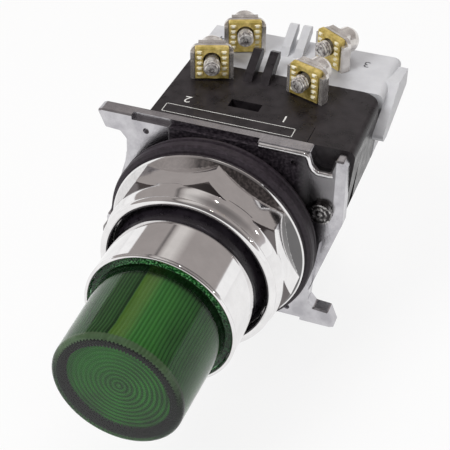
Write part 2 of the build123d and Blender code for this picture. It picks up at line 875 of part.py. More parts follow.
# Places inside the contact block
chamber_front = light_back + contact_wall
no_bridge_front = chamber_front + 1.7
no_contact_front = no_bridge_front + bridge_thick + stroke + 0.15
nc_contact_front = chamber_front + 1.0
nc_bridge_front = nc_contact_front + strip_thick + face_gap
head_seat = contact_back - screw_head_thick
poles = {"no": (-rod_x, no_bridge_front, no_contact_front), "nc": (rod_x, nc_bridge_front, nc_contact_front)}


def clip_centre(x, y, turn, side):
    """Where a terminal's upright clip meets the block: x and y of its middle."""
    foot = foot_plane(x, y, turn, side)
    centre = foot.from_local_coords((0, 0, -clip_front - clip_wall / 2))
    return centre.X, centre.Y


def strip_span(pole_x, clip_x):
    """Lowest and highest x of a fixed contact that joins a pole to a clip."""
    edges = [pole_x - strip_width / 2, pole_x + strip_width / 2, clip_x - strip_width / 2, clip_x + strip_width / 2]
    return min(edges), max(edges)


# Contact block housing: the same outline, with two pole chambers and a snap ear each side
with BuildPart() as contact_block_housing:
    extrude(block_face(across(cover_front)), amount=cover_front - light_back)
    for sign in (1, -1):
        with BuildSketch(Plane.YZ.offset(sign * lobe_foot)) as ear_sketch:
            with BuildLine():
                Polyline([(y, sign * z) for y, z in ear_points], close=True)
            make_face()
            fillet(ear_sketch.vertices(), radius=0.5)
        extrude(amount=sign * (block_reach + ear_thick - lobe_foot))
    extrude(block_face(across(light_back)), amount=light_block_depth, mode=Mode.SUBTRACT)
    for sign in (1, -1):
        with BuildSketch(across(cover_front)):
            with Locations((sign * (chamber_inner_x + chamber_outer_x) / 2, 0)):
                Rectangle(chamber_outer_x - chamber_inner_x, 2 * chamber_half_height)
        extrude(amount=cover_front - chamber_front, mode=Mode.SUBTRACT)
    for name, x, y, turn, side in contact_terminals:
        clip_x, clip_y = clip_centre(x, y, turn, side)
        low_x, high_x = strip_span(poles[name[:2]][0], clip_x)
        with BuildSketch(across(cover_front)):
            with Locations(((low_x + high_x) / 2, side * (chamber_half_height + run_z - 0.6) / 2)):
                Rectangle(high_x - low_x + 2 * face_gap, chamber_half_height - run_z + 0.6)
        extrude(amount=cover_front - chamber_front, mode=Mode.SUBTRACT)
        with BuildSketch(Plane.XY.offset(side * (chamber_half_height - 0.5))):
            with Locations((clip_x, clip_y)):
                Rectangle(strip_width + 2 * face_gap, strip_thick + 2 * face_gap)
        extrude(amount=side * (block_half_height - chamber_half_height + 0.5), mode=Mode.SUBTRACT)
    with BuildSketch(across(chamber_front)):
        with Locations((-rod_x, 0), (rod_x, 0)):
            Circle(rod_radius + face_gap)
    extrude(amount=contact_wall, mode=Mode.SUBTRACT)
    with BuildSketch(across(cover_front)):
        with Locations((screw_x, screw_z), (-screw_x, -screw_z)):
            Circle(screw_radius + free_gap)
    extrude(amount=cover_front - light_back, mode=Mode.SUBTRACT)
    with BuildSketch(across(cover_front)):
        with Locations((screw_x, screw_z), (-screw_x, -screw_z)):
            Circle(screw_head_radius + face_gap)
    extrude(amount=cover_front - head_seat, mode=Mode.SUBTRACT)
    for x in contact_finger_xs:
        with BuildSketch(Plane.YZ.offset(x)):
            finger_foot = contact_back - finger_reach
            with BuildLine():
                Polyline([(finger_foot + y, block_half_height + z) for y, z in finger_points], close=True)
            make_face()
        extrude(amount=finger_width / 2, both=True)
contact_block_housing.part.label = "contact_block_housing"
export_step(contact_block_housing.part, "parts/contact_block_housing.step")

# Contact block cover with a pip in each contact spring
with BuildPart() as contact_block_cover:
    extrude(block_face(across(contact_back)), amount=rear_cover_thick)
    with BuildSketch(across(cover_front)):
        with Locations((-rod_x, 0), (rod_x, 0)):
            Circle(spigot_radius)
    extrude(amount=1.5)
    with BuildSketch(across(contact_back)):
        with Locations((screw_x, screw_z), (-screw_x, -screw_z)):
            Circle(screw_head_radius + face_gap)
    extrude(amount=rear_cover_thick, mode=Mode.SUBTRACT)
contact_block_cover.part.label = "contact_block_cover"
export_step(contact_block_cover.part, "parts/contact_block_cover.step")

# Moving contacts: a plunger, the bridge on its spigot and the spring behind it, one set for each pole
for pole, (pole_x, bridge_front, contact_front) in poles.items():
    bridge_rear = bridge_front + bridge_thick
    with BuildPart() as plunger:
        with BuildSketch(across(bridge_rear + 1.0)):
            with Locations((pole_x, 0)):
                Circle(spigot_radius)
        extrude(amount=bridge_thick + 1.0)
        with BuildSketch(across(bridge_front)):
            with Locations((pole_x, 0)):
                Circle(shoulder_radius)
        extrude(amount=bridge_front - chamber_front - free_gap)
        with BuildSketch(across(bridge_front)):
            with Locations((pole_x, 0)):
                Circle(rod_radius)
        extrude(amount=bridge_front - light_back)
    plunger.part.label = f"{pole}_plunger"
    export_step(plunger.part, f"parts/{pole}_plunger.step")

    with BuildPart() as bridge:
        with BuildSketch(across(bridge_rear)):
            with Locations((pole_x, 0)):
                SlotCenterToCenter(2 * bridge_half_length - bridge_width, bridge_width, rotation=90)
                Circle(spigot_radius + fit_gap, mode=Mode.SUBTRACT)
        extrude(amount=bridge_thick)
    bridge.part.label = f"{pole}_bridge"
    export_step(bridge.part, f"parts/{pole}_bridge.step")

    contact_spring = coil(
        contact_spring_radius, contact_spring_wire, bridge_rear, cover_front, contact_spring_turns, pole_x
    )
    contact_spring.part.label = f"{pole}_contact_spring"
    export_step(contact_spring.part, f"parts/{pole}_contact_spring.step")

# Fixed contacts: a bent strip from each pole to each terminal
for name, x, y, turn, side in contact_terminals:
    pole_x, bridge_front, contact_front = poles[name[:2]]
    clip_x, clip_y = clip_centre(x, y, turn, side)
    low_x, high_x = strip_span(pole_x, clip_x)
    middle = contact_front + strip_thick / 2
    with BuildPart() as fixed_contact:
        with BuildSketch(Plane.YZ.offset(low_x)):
            with BuildLine():
                Polyline(
                    (middle, side * contact_inner_z),
                    (middle, side * run_z),
                    (clip_y, side * run_z),
                    (clip_y, side * block_half_height),
                )
            trace(line_width=strip_thick)
        extrude(amount=high_x - low_x)
        with BuildSketch(across(cover_front)):
            with Locations((pole_x, side * (run_z + contact_inner_z) / 2 - side * strip_thick)):
                Rectangle(4 * bridge_half_length, run_z - contact_inner_z + strip_thick)
                Rectangle(strip_width, run_z - contact_inner_z + strip_thick, mode=Mode.SUBTRACT)
        extrude(amount=cover_front - light_back, mode=Mode.SUBTRACT)
        with BuildSketch(Plane.XY.offset(side * (run_z + strip_thick / 2 + 0.5))):
            with Locations((clip_x, clip_y)):
                Rectangle(8 * strip_width, 2 * strip_width)
                Rectangle(strip_width, 2 * strip_width, mode=Mode.SUBTRACT)
        extrude(amount=side * block_half_height, mode=Mode.SUBTRACT)
    fixed_contact.part.label = f"{name}_fixed_contact"
    export_step(fixed_contact.part, f"parts/{name}_fixed_contact.step")

# Terminals: the upright clip with side wings, and the ribbed clamp plate, one each
terminals = light_terminals + contact_terminals
for name, x, y, turn, side in terminals:
    foot = foot_plane(x, y, turn, side)
    with BuildPart() as clip:
        with BuildSketch(foot.offset(-clip_front - clip_wall)) as clip_sketch:
            with Locations((0, -terminal_bottom)):
                Rectangle(
                    clamp_width + 2 * (clip_wall + face_gap),
                    clip_height + terminal_bottom,
                    align=(Align.CENTER, Align.MIN),
                )
            fillet(clip_sketch.vertices().group_by(Axis.Y)[-1], radius=clip_corner)
        extrude(amount=clip_wall)
        with BuildSketch(foot.offset(-clip_front)):
            for sign in (1, -1):
                with Locations((sign * (clamp_width + clip_wall + 2 * face_gap) / 2, -terminal_bottom)):
                    Rectangle(clip_wall, clamp_height - 1.0, align=(Align.CENTER, Align.MIN))
        extrude(amount=clip_front - 0.3)
        with BuildSketch(foot.offset(-clip_front - clip_wall)):
            with Locations((0, screw_height)):
                Circle(screw_hole)
        extrude(amount=clip_wall, mode=Mode.SUBTRACT)
    clip.part.label = f"{name}_clip"
    export_step(clip.part, f"parts/{name}_clip.step")

    with BuildPart() as clamp:
        with BuildSketch(foot.offset(-clamp_thick)):
            Rectangle(clamp_width, clamp_height, align=(Align.CENTER, Align.MIN))
        extrude(amount=clamp_thick)
        chamfer(clamp.faces().sort_by(Axis.Z)[-1 if side > 0 else 0].edges(), length=0.3)
        with BuildSketch(foot):
            with Locations((0, clamp_height / 2)):
                with GridLocations(2 * clamp_bar_x, clamp_bar_pitch, 2, clamp_bars):
                    Rectangle(clamp_bar_width, clamp_bar_height)
        extrude(amount=clamp_bar_depth, taper=20)
        with BuildSketch(foot.offset(-clamp_thick)):
            with Locations((0, screw_height)):
                Circle(screw_hole)
        extrude(amount=clamp_thick, mode=Mode.SUBTRACT)
    clamp.part.label = f"{name}_clamp"
    export_step(clamp.part, f"parts/{name}_clamp.step")

# Terminal washers, six alike
with BuildPart() as terminal_washers:
    for name, x, y, turn, side in terminals:
        foot = foot_plane(x, y, turn, side)
        with BuildSketch(foot.offset(-head_front)):
            with Locations((0, screw_height)):
                Rectangle(washer_side, washer_side)
                Circle(screw_hole, mode=Mode.SUBTRACT)
        extrude(amount=washer_thick)
terminal_washers.part.label = "terminal_washers"
export_step(terminal_washers.part, "parts/terminal_washers.step")

# Terminal screws, six alike: domed slotted head behind, threaded end in front
dome_rise = terminal_head_height - head_rim
dome_radius = (terminal_head_radius**2 + dome_rise**2) / (2 * dome_rise)
with BuildPart() as terminal_screws:
    for name, x, y, turn, side in terminals:
        foot = foot_plane(x, y, turn, side)
        head_centre = foot.from_local_coords((0, screw_height, -head_front))
        profile_plane = Plane(origin=head_centre, x_dir=foot.x_dir, z_dir=-foot.y_dir)
        with BuildSketch(profile_plane):
            with BuildLine():
                Line((0, head_front + terminal_tip), (terminal_screw_radius - 0.3, head_front + terminal_tip))
                Line(
                    (terminal_screw_radius - 0.3, head_front + terminal_tip),
                    (terminal_screw_radius, head_front + terminal_tip - 0.3),
                )
                Line((terminal_screw_radius, head_front + terminal_tip - 0.3), (terminal_screw_radius, 0))
                Line((terminal_screw_radius, 0), (terminal_head_radius, 0))
                Line((terminal_head_radius, 0), (terminal_head_radius, -head_rim))
                RadiusArc((terminal_head_radius, -head_rim), (0, -terminal_head_height), dome_radius)
                Line((0, -terminal_head_height), (0, head_front + terminal_tip))
            make_face()
        revolve(axis=Axis(head_centre, foot.z_dir))
        with BuildSketch(foot.offset(-head_front - terminal_head_height)):
            with Locations((0, screw_height)):
                Rectangle(2.2 * terminal_head_radius, slot_width, rotation=12)
        extrude(amount=slot_depth, mode=Mode.SUBTRACT)
terminal_screws.part.label = "terminal_screws"
export_step(terminal_screws.part, "parts/terminal_screws.step")

# Mounting screws, two alike: sunk heads at the rear, ends through the flange plate
with BuildPart() as mounting_screws:
    for sign in (1, -1):
        with BuildSketch(across(contact_back)):
            with Locations((sign * screw_x, sign * screw_z)):
                Circle(screw_head_radius)
        extrude(amount=screw_head_thick)
        with BuildSketch(across(head_seat)):
            with Locations((sign * screw_x, sign * screw_z)):
                Circle(screw_radius)
        extrude(amount=head_seat - plate_front + screw_show)
        with BuildSketch(across(contact_back)):
            with Locations((sign * screw_x, sign * screw_z)):
                Rectangle(3 * screw_head_radius, slot_width, rotation=35)
        extrude(amount=slot_depth, mode=Mode.SUBTRACT)
mounting_screws.part.label = "mounting_screws"
export_step(mounting_screws.part, "parts/mounting_screws.step")
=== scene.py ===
"""Dresses the illuminated push button: finishes, lights, floor and camera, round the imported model.

The frame is the part's own: the button's axis is Y, its front faces -Y, +Z is up. Blender's lengths are metres.
The object's own sizes are written in millimetres, and MM turns them into metres. The floor's size and the places
of lights and camera are in metres.
"""

import json
import math

import bpy
from mathutils import Matrix, Vector


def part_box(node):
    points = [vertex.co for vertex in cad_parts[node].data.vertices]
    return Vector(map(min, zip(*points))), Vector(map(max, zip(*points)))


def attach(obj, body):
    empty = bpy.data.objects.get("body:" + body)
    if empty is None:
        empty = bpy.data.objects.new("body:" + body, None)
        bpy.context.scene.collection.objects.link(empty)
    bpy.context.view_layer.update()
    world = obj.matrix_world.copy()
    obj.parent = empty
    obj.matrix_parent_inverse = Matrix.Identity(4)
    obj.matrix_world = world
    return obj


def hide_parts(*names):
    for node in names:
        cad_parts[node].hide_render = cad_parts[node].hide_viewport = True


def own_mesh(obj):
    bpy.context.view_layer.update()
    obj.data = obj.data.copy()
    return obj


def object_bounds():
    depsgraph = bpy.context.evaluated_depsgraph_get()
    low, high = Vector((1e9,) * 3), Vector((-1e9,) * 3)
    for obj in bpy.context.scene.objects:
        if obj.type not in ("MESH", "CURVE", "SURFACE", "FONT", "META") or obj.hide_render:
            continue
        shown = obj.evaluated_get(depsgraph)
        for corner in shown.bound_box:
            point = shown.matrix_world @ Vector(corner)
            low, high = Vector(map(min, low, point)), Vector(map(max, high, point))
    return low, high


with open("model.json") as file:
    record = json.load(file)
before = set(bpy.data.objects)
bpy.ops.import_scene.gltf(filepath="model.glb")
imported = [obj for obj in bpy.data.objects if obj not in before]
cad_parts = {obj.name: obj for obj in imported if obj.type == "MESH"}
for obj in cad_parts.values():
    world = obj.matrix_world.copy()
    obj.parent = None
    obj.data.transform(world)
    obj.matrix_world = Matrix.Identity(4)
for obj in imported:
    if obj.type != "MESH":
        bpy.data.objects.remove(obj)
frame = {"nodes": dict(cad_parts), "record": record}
cad_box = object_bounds()
nodes = frame["nodes"]
MM = 0.001


# Node helpers

NOISE_ROUGHNESS = 0.55
# Most of a noise's values lie between these two
NOISE_LOW = 0.3
NOISE_HIGH = 0.7


def empty_tree(owner):
    """The node tree of a material or a world, emptied."""
    owner.use_nodes = True
    owner.node_tree.nodes.clear()
    return owner.node_tree


def new_material(name):
    """A node material with only its shader and output."""
    material = bpy.data.materials.new(name)
    tree = empty_tree(material)
    output = tree.nodes.new("ShaderNodeOutputMaterial")
    shader = tree.nodes.new("ShaderNodeBsdfPrincipled")
    tree.links.new(shader.outputs["BSDF"], output.inputs["Surface"])
    return material, tree, shader


def coordinates(tree, kind="Object"):
    """Object coordinates in metres, or another kind of texture coordinate."""
    return tree.nodes.new("ShaderNodeTexCoord").outputs[kind]


def axes(tree, vector):
    """The vector's X, Y and Z."""
    split = tree.nodes.new("ShaderNodeSeparateXYZ")
    tree.links.new(vector, split.inputs["Vector"])
    return [split.outputs[axis] for axis in "XYZ"]


def noise(tree, vector, size, detail=4.0):
    """Noise whose features are about size metres across."""
    node = tree.nodes.new("ShaderNodeTexNoise")
    node.inputs["Scale"].default_value = 1.0 / size
    node.inputs["Detail"].default_value = detail
    node.inputs["Roughness"].default_value = NOISE_ROUGHNESS
    tree.links.new(vector, node.inputs["Vector"])
    return node.outputs["Fac"]


def ramp(tree, value, stops):
    """A colour ramp through (place, colour) stops."""
    node = tree.nodes.new("ShaderNodeValToRGB")
    elements = node.color_ramp.elements
    while len(elements) < len(stops):
        elements.new(0.5)
    for element, (place, colour) in zip(elements, stops):
        element.position = place
        element.color = (*colour, 1)
    tree.links.new(value, node.inputs["Fac"])
    return node.outputs["Color"]


def span(tree, value, start, end, low=0.0, high=1.0, smooth=True):
    """The value's range from start to end, mapped to low and high and held outside."""
    node = tree.nodes.new("ShaderNodeMapRange")
    node.interpolation_type = "SMOOTHSTEP" if smooth else "LINEAR"
    for socket, number in (("From Min", start), ("From Max", end), ("To Min", low), ("To Max", high)):
        node.inputs[socket].default_value = number
    tree.links.new(value, node.inputs["Value"])
    return node.outputs["Result"]


def between(tree, value, low, high):
    """A noise's values stretched to low and high."""
    return span(tree, value, NOISE_LOW, NOISE_HIGH, low, high, smooth=False)


def maths(tree, operation, first, second=None):
    """One sum on one or two values, each a socket or a number."""
    node = tree.nodes.new("ShaderNodeMath")
    node.operation = operation
    for place, value in enumerate((first, second)):
        if isinstance(value, (int, float)):
            node.inputs[place].default_value = value
        elif value is not None:
            tree.links.new(value, node.inputs[place])
    return node.outputs["Value"]


def product(tree, first, *others):
    """All the values multiplied together."""
    for other in others:
        first = maths(tree, "MULTIPLY", first, other)
    return first


def band(tree, value, start, full, fall, end):
    """1 from full to fall, and 0 before start and after end."""
    return product(tree, span(tree, value, start, full), span(tree, value, fall, end, 1.0, 0.0))


def change(tree, value, places, low=0.0, high=1.0):
    """Low at the first of two places in millimetres, and high at the second."""
    start, end = places
    return span(tree, value, start * MM, end * MM, low, high)


def distance(tree, first, second):
    """The length of two sides at a right angle to each other, taken together."""
    squares = maths(tree, "ADD", product(tree, first, first), product(tree, second, second))
    return maths(tree, "SQRT", squares)


def polar(tree, vector):
    """Angle about Y from up towards +X in radians, distance from Y, and Y itself."""
    x, y, z = axes(tree, vector)
    return maths(tree, "ARCTAN2", x, z), distance(tree, x, z), y


def mixed(tree, share, first, second):
    """A colour from first to second by share. Each colour is a socket or a triple."""
    node = tree.nodes.new("ShaderNodeMix")
    node.data_type = "RGBA"
    tree.links.new(share, node.inputs["Factor"])
    for socket, colour in ((node.inputs[6], first), (node.inputs[7], second)):
        if isinstance(colour, tuple):
            socket.default_value = (*colour, 1)
        else:
            tree.links.new(colour, socket)
    return node.outputs[2]


def bump(tree, shader, height, depth):
    """Bump of a real depth in metres."""
    node = tree.nodes.new("ShaderNodeBump")
    node.inputs["Strength"].default_value = 1.0
    node.inputs["Distance"].default_value = depth
    tree.links.new(height, node.inputs["Height"])
    tree.links.new(node.outputs["Normal"], shader.inputs["Normal"])


# How much larger a patch of tone is than the bump's grain, where it has no size of its own
PATCH_TO_GRAIN = 8


def finish(name, light, dark, rough, size, depth, metallic=0.0, patch=None, **sockets):
    """A surface with two tones in patches, uneven gloss and a fine bump, which a depth of 0 leaves out."""
    material, tree, shader = new_material(name)
    vector = coordinates(tree)
    patches = noise(tree, vector, patch or size * PATCH_TO_GRAIN, 3.0)
    colour = ramp(tree, patches, [(0.35, dark), (0.65, light)])
    tree.links.new(colour, shader.inputs["Base Color"])
    tree.links.new(between(tree, patches, *rough), shader.inputs["Roughness"])
    shader.inputs["Metallic"].default_value = metallic
    for socket, value in sockets.items():
        shader.inputs[socket.replace("_", " ")].default_value = value
    if depth:
        bump(tree, shader, noise(tree, vector, size, 5.0), depth)
    return material


# Finishes: paler tone, darker tone, roughness from and to, size of the grain, depth of the bump

chrome = finish(
    "mirror_chrome", (0.86, 0.85, 0.85), (0.8, 0.79, 0.79), (0.035, 0.08), 0.4 * MM, 0.0012 * MM, metallic=1.0
)
boot_rubber = finish(
    "boot_rubber", (0.022, 0.018, 0.024), (0.01, 0.008, 0.011), (0.22, 0.38), 0.25 * MM, 0.015 * MM
)
rubber = finish(
    "gasket_rubber", (0.034, 0.026, 0.034), (0.014, 0.01, 0.014), (0.45, 0.65), 0.25 * MM, 0.03 * MM,
    patch=0.7 * MM, Specular_IOR_Level=0.36,
)
black_plastic = finish(
    "black_plastic", (0.028, 0.024, 0.0265), (0.013, 0.011, 0.0125), (0.24, 0.4), 0.3 * MM, 0.022 * MM,
    Specular_IOR_Level=0.26,
)
grey_plastic = finish(
    "grey_plastic", (0.6, 0.608, 0.628), (0.55, 0.557, 0.58), (0.38, 0.52), 0.3 * MM, 0.01 * MM
)
white_plastic = finish(
    "white_plastic", (0.8, 0.8, 0.77), (0.72, 0.72, 0.7), (0.35, 0.5), 0.3 * MM, 0.008 * MM
)
brass = finish(
    "stamped_brass", (1.0, 0.8, 0.3), (0.64, 0.49, 0.12), (0.34, 0.5), 0.25 * MM, 0.02 * MM, metallic=0.7,
    patch=1.1 * MM,
)
cast_rim = finish(
    "cast_rim", (0.9, 0.89, 0.9), (0.7, 0.69, 0.7), (0.14, 0.3), 0.5 * MM, 0.03 * MM, metallic=1.0
)
nickel = finish(
    "nickel_steel", (0.86, 0.83, 0.8), (0.62, 0.59, 0.56), (0.14, 0.3), 0.3 * MM, 0.012 * MM, metallic=0.78
)
spring_steel = finish(
    "spring_steel", (0.6, 0.6, 0.6), (0.42, 0.42, 0.42), (0.2, 0.36), 0.2 * MM, 0.006 * MM, metallic=1.0
)
# Paler brass for the clamp ribs, a painted highlight
brass_painted_highlight = finish(
    "brass_painted_highlight", (1.0, 0.97, 0.82), (0.95, 0.9, 0.66), (0.3, 0.42), 0.25 * MM, 0.006 * MM, metallic=0.2
)
# Painted shade for the threads' valleys and the dimple in their ends, beside the lit tone of thread_bright
thread_shade = finish(
    "thread_shade", (0.16, 0.15, 0.14), (0.07, 0.065, 0.06), (0.3, 0.5), 0.2 * MM, 0.006 * MM, metallic=1.0
)
thread_bright = finish(
    "thread_bright", (0.95, 0.93, 0.9), (0.34, 0.31, 0.3), (0.22, 0.38), 0.2 * MM, 0.02 * MM, metallic=0.6,
    patch=0.7 * MM,
)
bulb_glass = finish(
    "bulb_glass", (0.95, 0.95, 0.93), (0.9, 0.9, 0.88), (0.25, 0.4), 0.8 * MM, 0.0, Transmission_Weight=0.4
)
lens_clear = finish(
    "lens_clear", (0.62, 0.9, 0.66), (0.56, 0.86, 0.6), (0.015, 0.03), 1.5 * MM, 0.0,
    Transmission_Weight=1.0, IOR=1.38,
)

# The lens's body under its clear skin: ribs along it, a painted highlight stripe and painted shade, and rings on
# its front
RIBS = 100
RINGS_FRONT = -38.5
RIM_FRONT = -40.5
RIM_START = 9.1
RING_PITCH = 0.86
RING_DEPTH = 0.1

# Where a tone is absent and where it is full, along the axis or outwards from it
# Painted glints on the rear ring
REAR_RING = (-23.1, -23.0)
REAR_RING_EDGE = (11.6, 11.8)
# Painted shade next to the bezel
BEZEL_SHADE = (-25.2, -24.0)
# Painted shade on the front edge, with a painted reflection along its upper side
FRONT_EDGE = (-39.2, -39.7)
# FACE_WALL and RIM: painted shade on the wall round the rings and on the rim in front
FACE = (9.85, 9.75)
FACE_WALL = (RINGS_FRONT - 0.05, RINGS_FRONT - 0.12)
RIM = (RIM_FRONT + 0.12, RIM_FRONT + 0.05)
# The same for height less X, for the painted light on the rings
UPPER_LEFT_LIGHT = (-1.0, 11.0)

# Where a tone starts, is full, starts to fall and ends: angles about Y in radians, from up towards +X. These tones
# paint light and shade: a lit band, a highlight stripe, shade on the far side and in a streak, brighter glints,
# and a reflection along the upper front edge.
NEAR_HIGHLIGHT = (-0.12, 0.1, 0.35, 0.9)
FAR_SHADE = (-0.7, -0.3, -0.16, -0.13)
HIGHLIGHT_STRIPE = (-0.14, -0.09, 0.02, 0.24)
SHADOW_STREAK = (-0.19, -0.15, -0.145, -0.11)
BRIGHT_GLINTS = (-0.9, -0.2, 0.7, 1.5)
UPPER_REFLECTION = (-1.7, -0.9, 0.9, 1.7)


def lens_side(tree, vector, patches):
    """Ribbed green with painted light and shade: shade in the valleys, a lit band and a highlight stripe, shade on
    the far side, in a streak and next to the bezel, glints on the rear ring, and in front a shaded edge with a
    painted reflection along its upper side.
    """
    angle, radius, depth = polar(tree, vector)
    wave = maths(tree, "SINE", product(tree, angle, RIBS))
    green = ramp(tree, patches, [(0.3, (0.038, 0.112, 0.032)), (0.7, (0.055, 0.17, 0.044))])
    # Painted highlight: a lit band
    near_highlight = band(tree, angle, *NEAR_HIGHLIGHT)
    lit = mixed(tree, near_highlight, green, (0.078, 0.24, 0.056))
    # Painted shade on the far side
    far_shade = product(tree, band(tree, angle, *FAR_SHADE), 0.7)
    shaded = mixed(tree, far_shade, lit, (0.05, 0.115, 0.035))
    # Painted shade in the ribs' valleys, less of it in the lit band
    rib_valley_shade = product(tree, span(tree, wave, -0.9, 0.3, 1.0, 0.0), span(tree, near_highlight, 0.0, 1.0, 0.75, 0.35))
    ribbed = mixed(tree, rib_valley_shade, shaded, (0.018, 0.046, 0.018))
    # Painted highlight: a paler stripe
    stripe_highlighted = mixed(tree, product(tree, band(tree, angle, *HIGHLIGHT_STRIPE), 0.85), ribbed, (0.16, 0.23, 0.045))
    # Painted shadow streak beside the stripe
    streak_shaded = mixed(tree, product(tree, band(tree, angle, *SHADOW_STREAK), 0.8), stripe_highlighted, (0.012, 0.03, 0.012))
    # Painted shade next to the bezel
    bezel_shaded = mixed(tree, change(tree, depth, BEZEL_SHADE, 0.0, 0.85), streak_shaded, (0.006, 0.014, 0.008))

    # Painted glints on the rear ring, brighter towards the top
    sparkle = noise(tree, vector, 0.35 * MM, 1.0)
    bright = [(0.42, (0.01, 0.05, 0.02)), (0.52, (0.03, 0.22, 0.05)), (0.64, (0.3, 0.85, 0.34))]
    dull = [(0.4, (0.008, 0.035, 0.014)), (0.65, (0.03, 0.2, 0.05))]
    bright_glint_share = band(tree, angle, *BRIGHT_GLINTS)
    painted_glints = mixed(tree, bright_glint_share, ramp(tree, sparkle, dull), ramp(tree, sparkle, bright))
    rear_ring = product(tree, change(tree, depth, REAR_RING), change(tree, radius, REAR_RING_EDGE))
    side = mixed(tree, rear_ring, bezel_shaded, painted_glints)

    # Painted shade on the front edge, with a painted reflection along its upper side
    edge = mixed(tree, band(tree, angle, *UPPER_REFLECTION), (0.006, 0.008, 0.007), (0.13, 0.16, 0.1))
    return mixed(tree, change(tree, depth, FRONT_EDGE), side, edge)


def lens_rings(tree, vector, patches, radius):
    """Rings on the lens's front, with painted light towards its upper left."""
    rings = maths(tree, "SINE", product(tree, radius, 2 * math.pi / (RING_PITCH * MM)))
    ring_low = ramp(tree, patches, [(0.3, (0.012, 0.055, 0.01)), (0.7, (0.015, 0.1, 0.012))])
    ring_high = ramp(tree, patches, [(0.3, (0.03, 0.14, 0.022)), (0.7, (0.036, 0.25, 0.024))])
    ringed = mixed(tree, span(tree, rings, -0.8, 0.8), ring_low, ring_high)
    x, _, z = axes(tree, vector)
    # Painted light towards the upper left
    upper_left_light = change(tree, maths(tree, "SUBTRACT", z, x), UPPER_LEFT_LIGHT, 0.0, 0.7)
    return mixed(tree, upper_left_light, ringed, (0.026, 0.22, 0.02))


def lens_body_finish():
    """Green with painted shade in the ribs' valleys, rings in front and painted shade on the wall and rim round
    them.
    """
    material, tree, shader = new_material("lens_body")
    vector = coordinates(tree)
    _, radius, depth = polar(tree, vector)
    patches = noise(tree, vector, 5 * MM, 2.0)
    inside = change(tree, radius, FACE)
    face = mixed(tree, inside, lens_side(tree, vector, patches), lens_rings(tree, vector, patches, radius))
    # Painted shade on the wall round the rings and on the rim in front
    wall = product(tree, inside, change(tree, depth, FACE_WALL))
    rim = maths(tree, "MAXIMUM", wall, change(tree, depth, RIM))
    tree.links.new(mixed(tree, rim, face, (0.002, 0.002, 0.003)), shader.inputs["Base Color"])
    tree.links.new(between(tree, patches, 0.4, 0.55), shader.inputs["Roughness"])
    shader.inputs["Specular IOR Level"].default_value = 0.04
    bump(tree, shader, noise(tree, vector, 0.4 * MM), 0.004 * MM)
    return material


# The long screws' axes, and where their rings give way to plain heads
MOUNTING_SCREW_X = 19.9
MOUNTING_SCREW_Z = 8.0
MOUNTING_HEAD = (9, 10)
TURNED_PITCH = 0.9


def ringed_steel():
    """Dark plated steel with broken turned rings on the mounting screws' front ends, and plain heads."""
    material, tree, shader = new_material("ringed_steel")
    vector = coordinates(tree)
    x, y, z = axes(tree, vector)
    across = maths(tree, "SUBTRACT", maths(tree, "ABSOLUTE", x), MOUNTING_SCREW_X * MM)
    up = maths(tree, "SUBTRACT", product(tree, z, maths(tree, "SIGN", x)), MOUNTING_SCREW_Z * MM)
    turns = product(tree, distance(tree, across, up), 2 * math.pi / (TURNED_PITCH * MM))
    patches = noise(tree, vector, 0.7 * MM, 3.0)
    steel = ramp(tree, patches, [(0.38, (0.1, 0.095, 0.09)), (0.62, (0.6, 0.59, 0.58))])
    breaks = span(tree, noise(tree, vector, 0.5 * MM, 2.0), NOISE_LOW, NOISE_HIGH, -1.2, 1.2)
    broken = maths(tree, "ADD", maths(tree, "SINE", turns), breaks)
    turned = mixed(tree, span(tree, broken, -0.5, 0.5), (0.04, 0.038, 0.038), steel)
    plain = ramp(tree, patches, [(0.35, (0.5, 0.49, 0.47)), (0.65, (0.72, 0.7, 0.68))])
    colour = mixed(tree, change(tree, y, MOUNTING_HEAD), turned, plain)
    tree.links.new(colour, shader.inputs["Base Color"])
    tree.links.new(between(tree, patches, 0.15, 0.32), shader.inputs["Roughness"])
    shader.inputs["Metallic"].default_value = 1.0
    bump(tree, shader, noise(tree, vector, 0.3 * MM), 0.01 * MM)
    return material


# Where the nut's painted reflections are absent and where they are full: along the axis, and as angles about Y in
# radians
FLARE_FRONT = (-3.1, -2.9)
FLARE_REAR = (-1.12, -1.2)
CHAMFER_FRONT = (-8.3, -8.0)
CHAMFER_REAR = (-5.6, -5.9)
FLARE_TURN = (-0.25, 0.1)
RIGHT_SIDE = (0.85, 1.05)
# How far a surface turns to the front or the rear, from none of its tone to all
SLOPE = (0.12, 0.3)


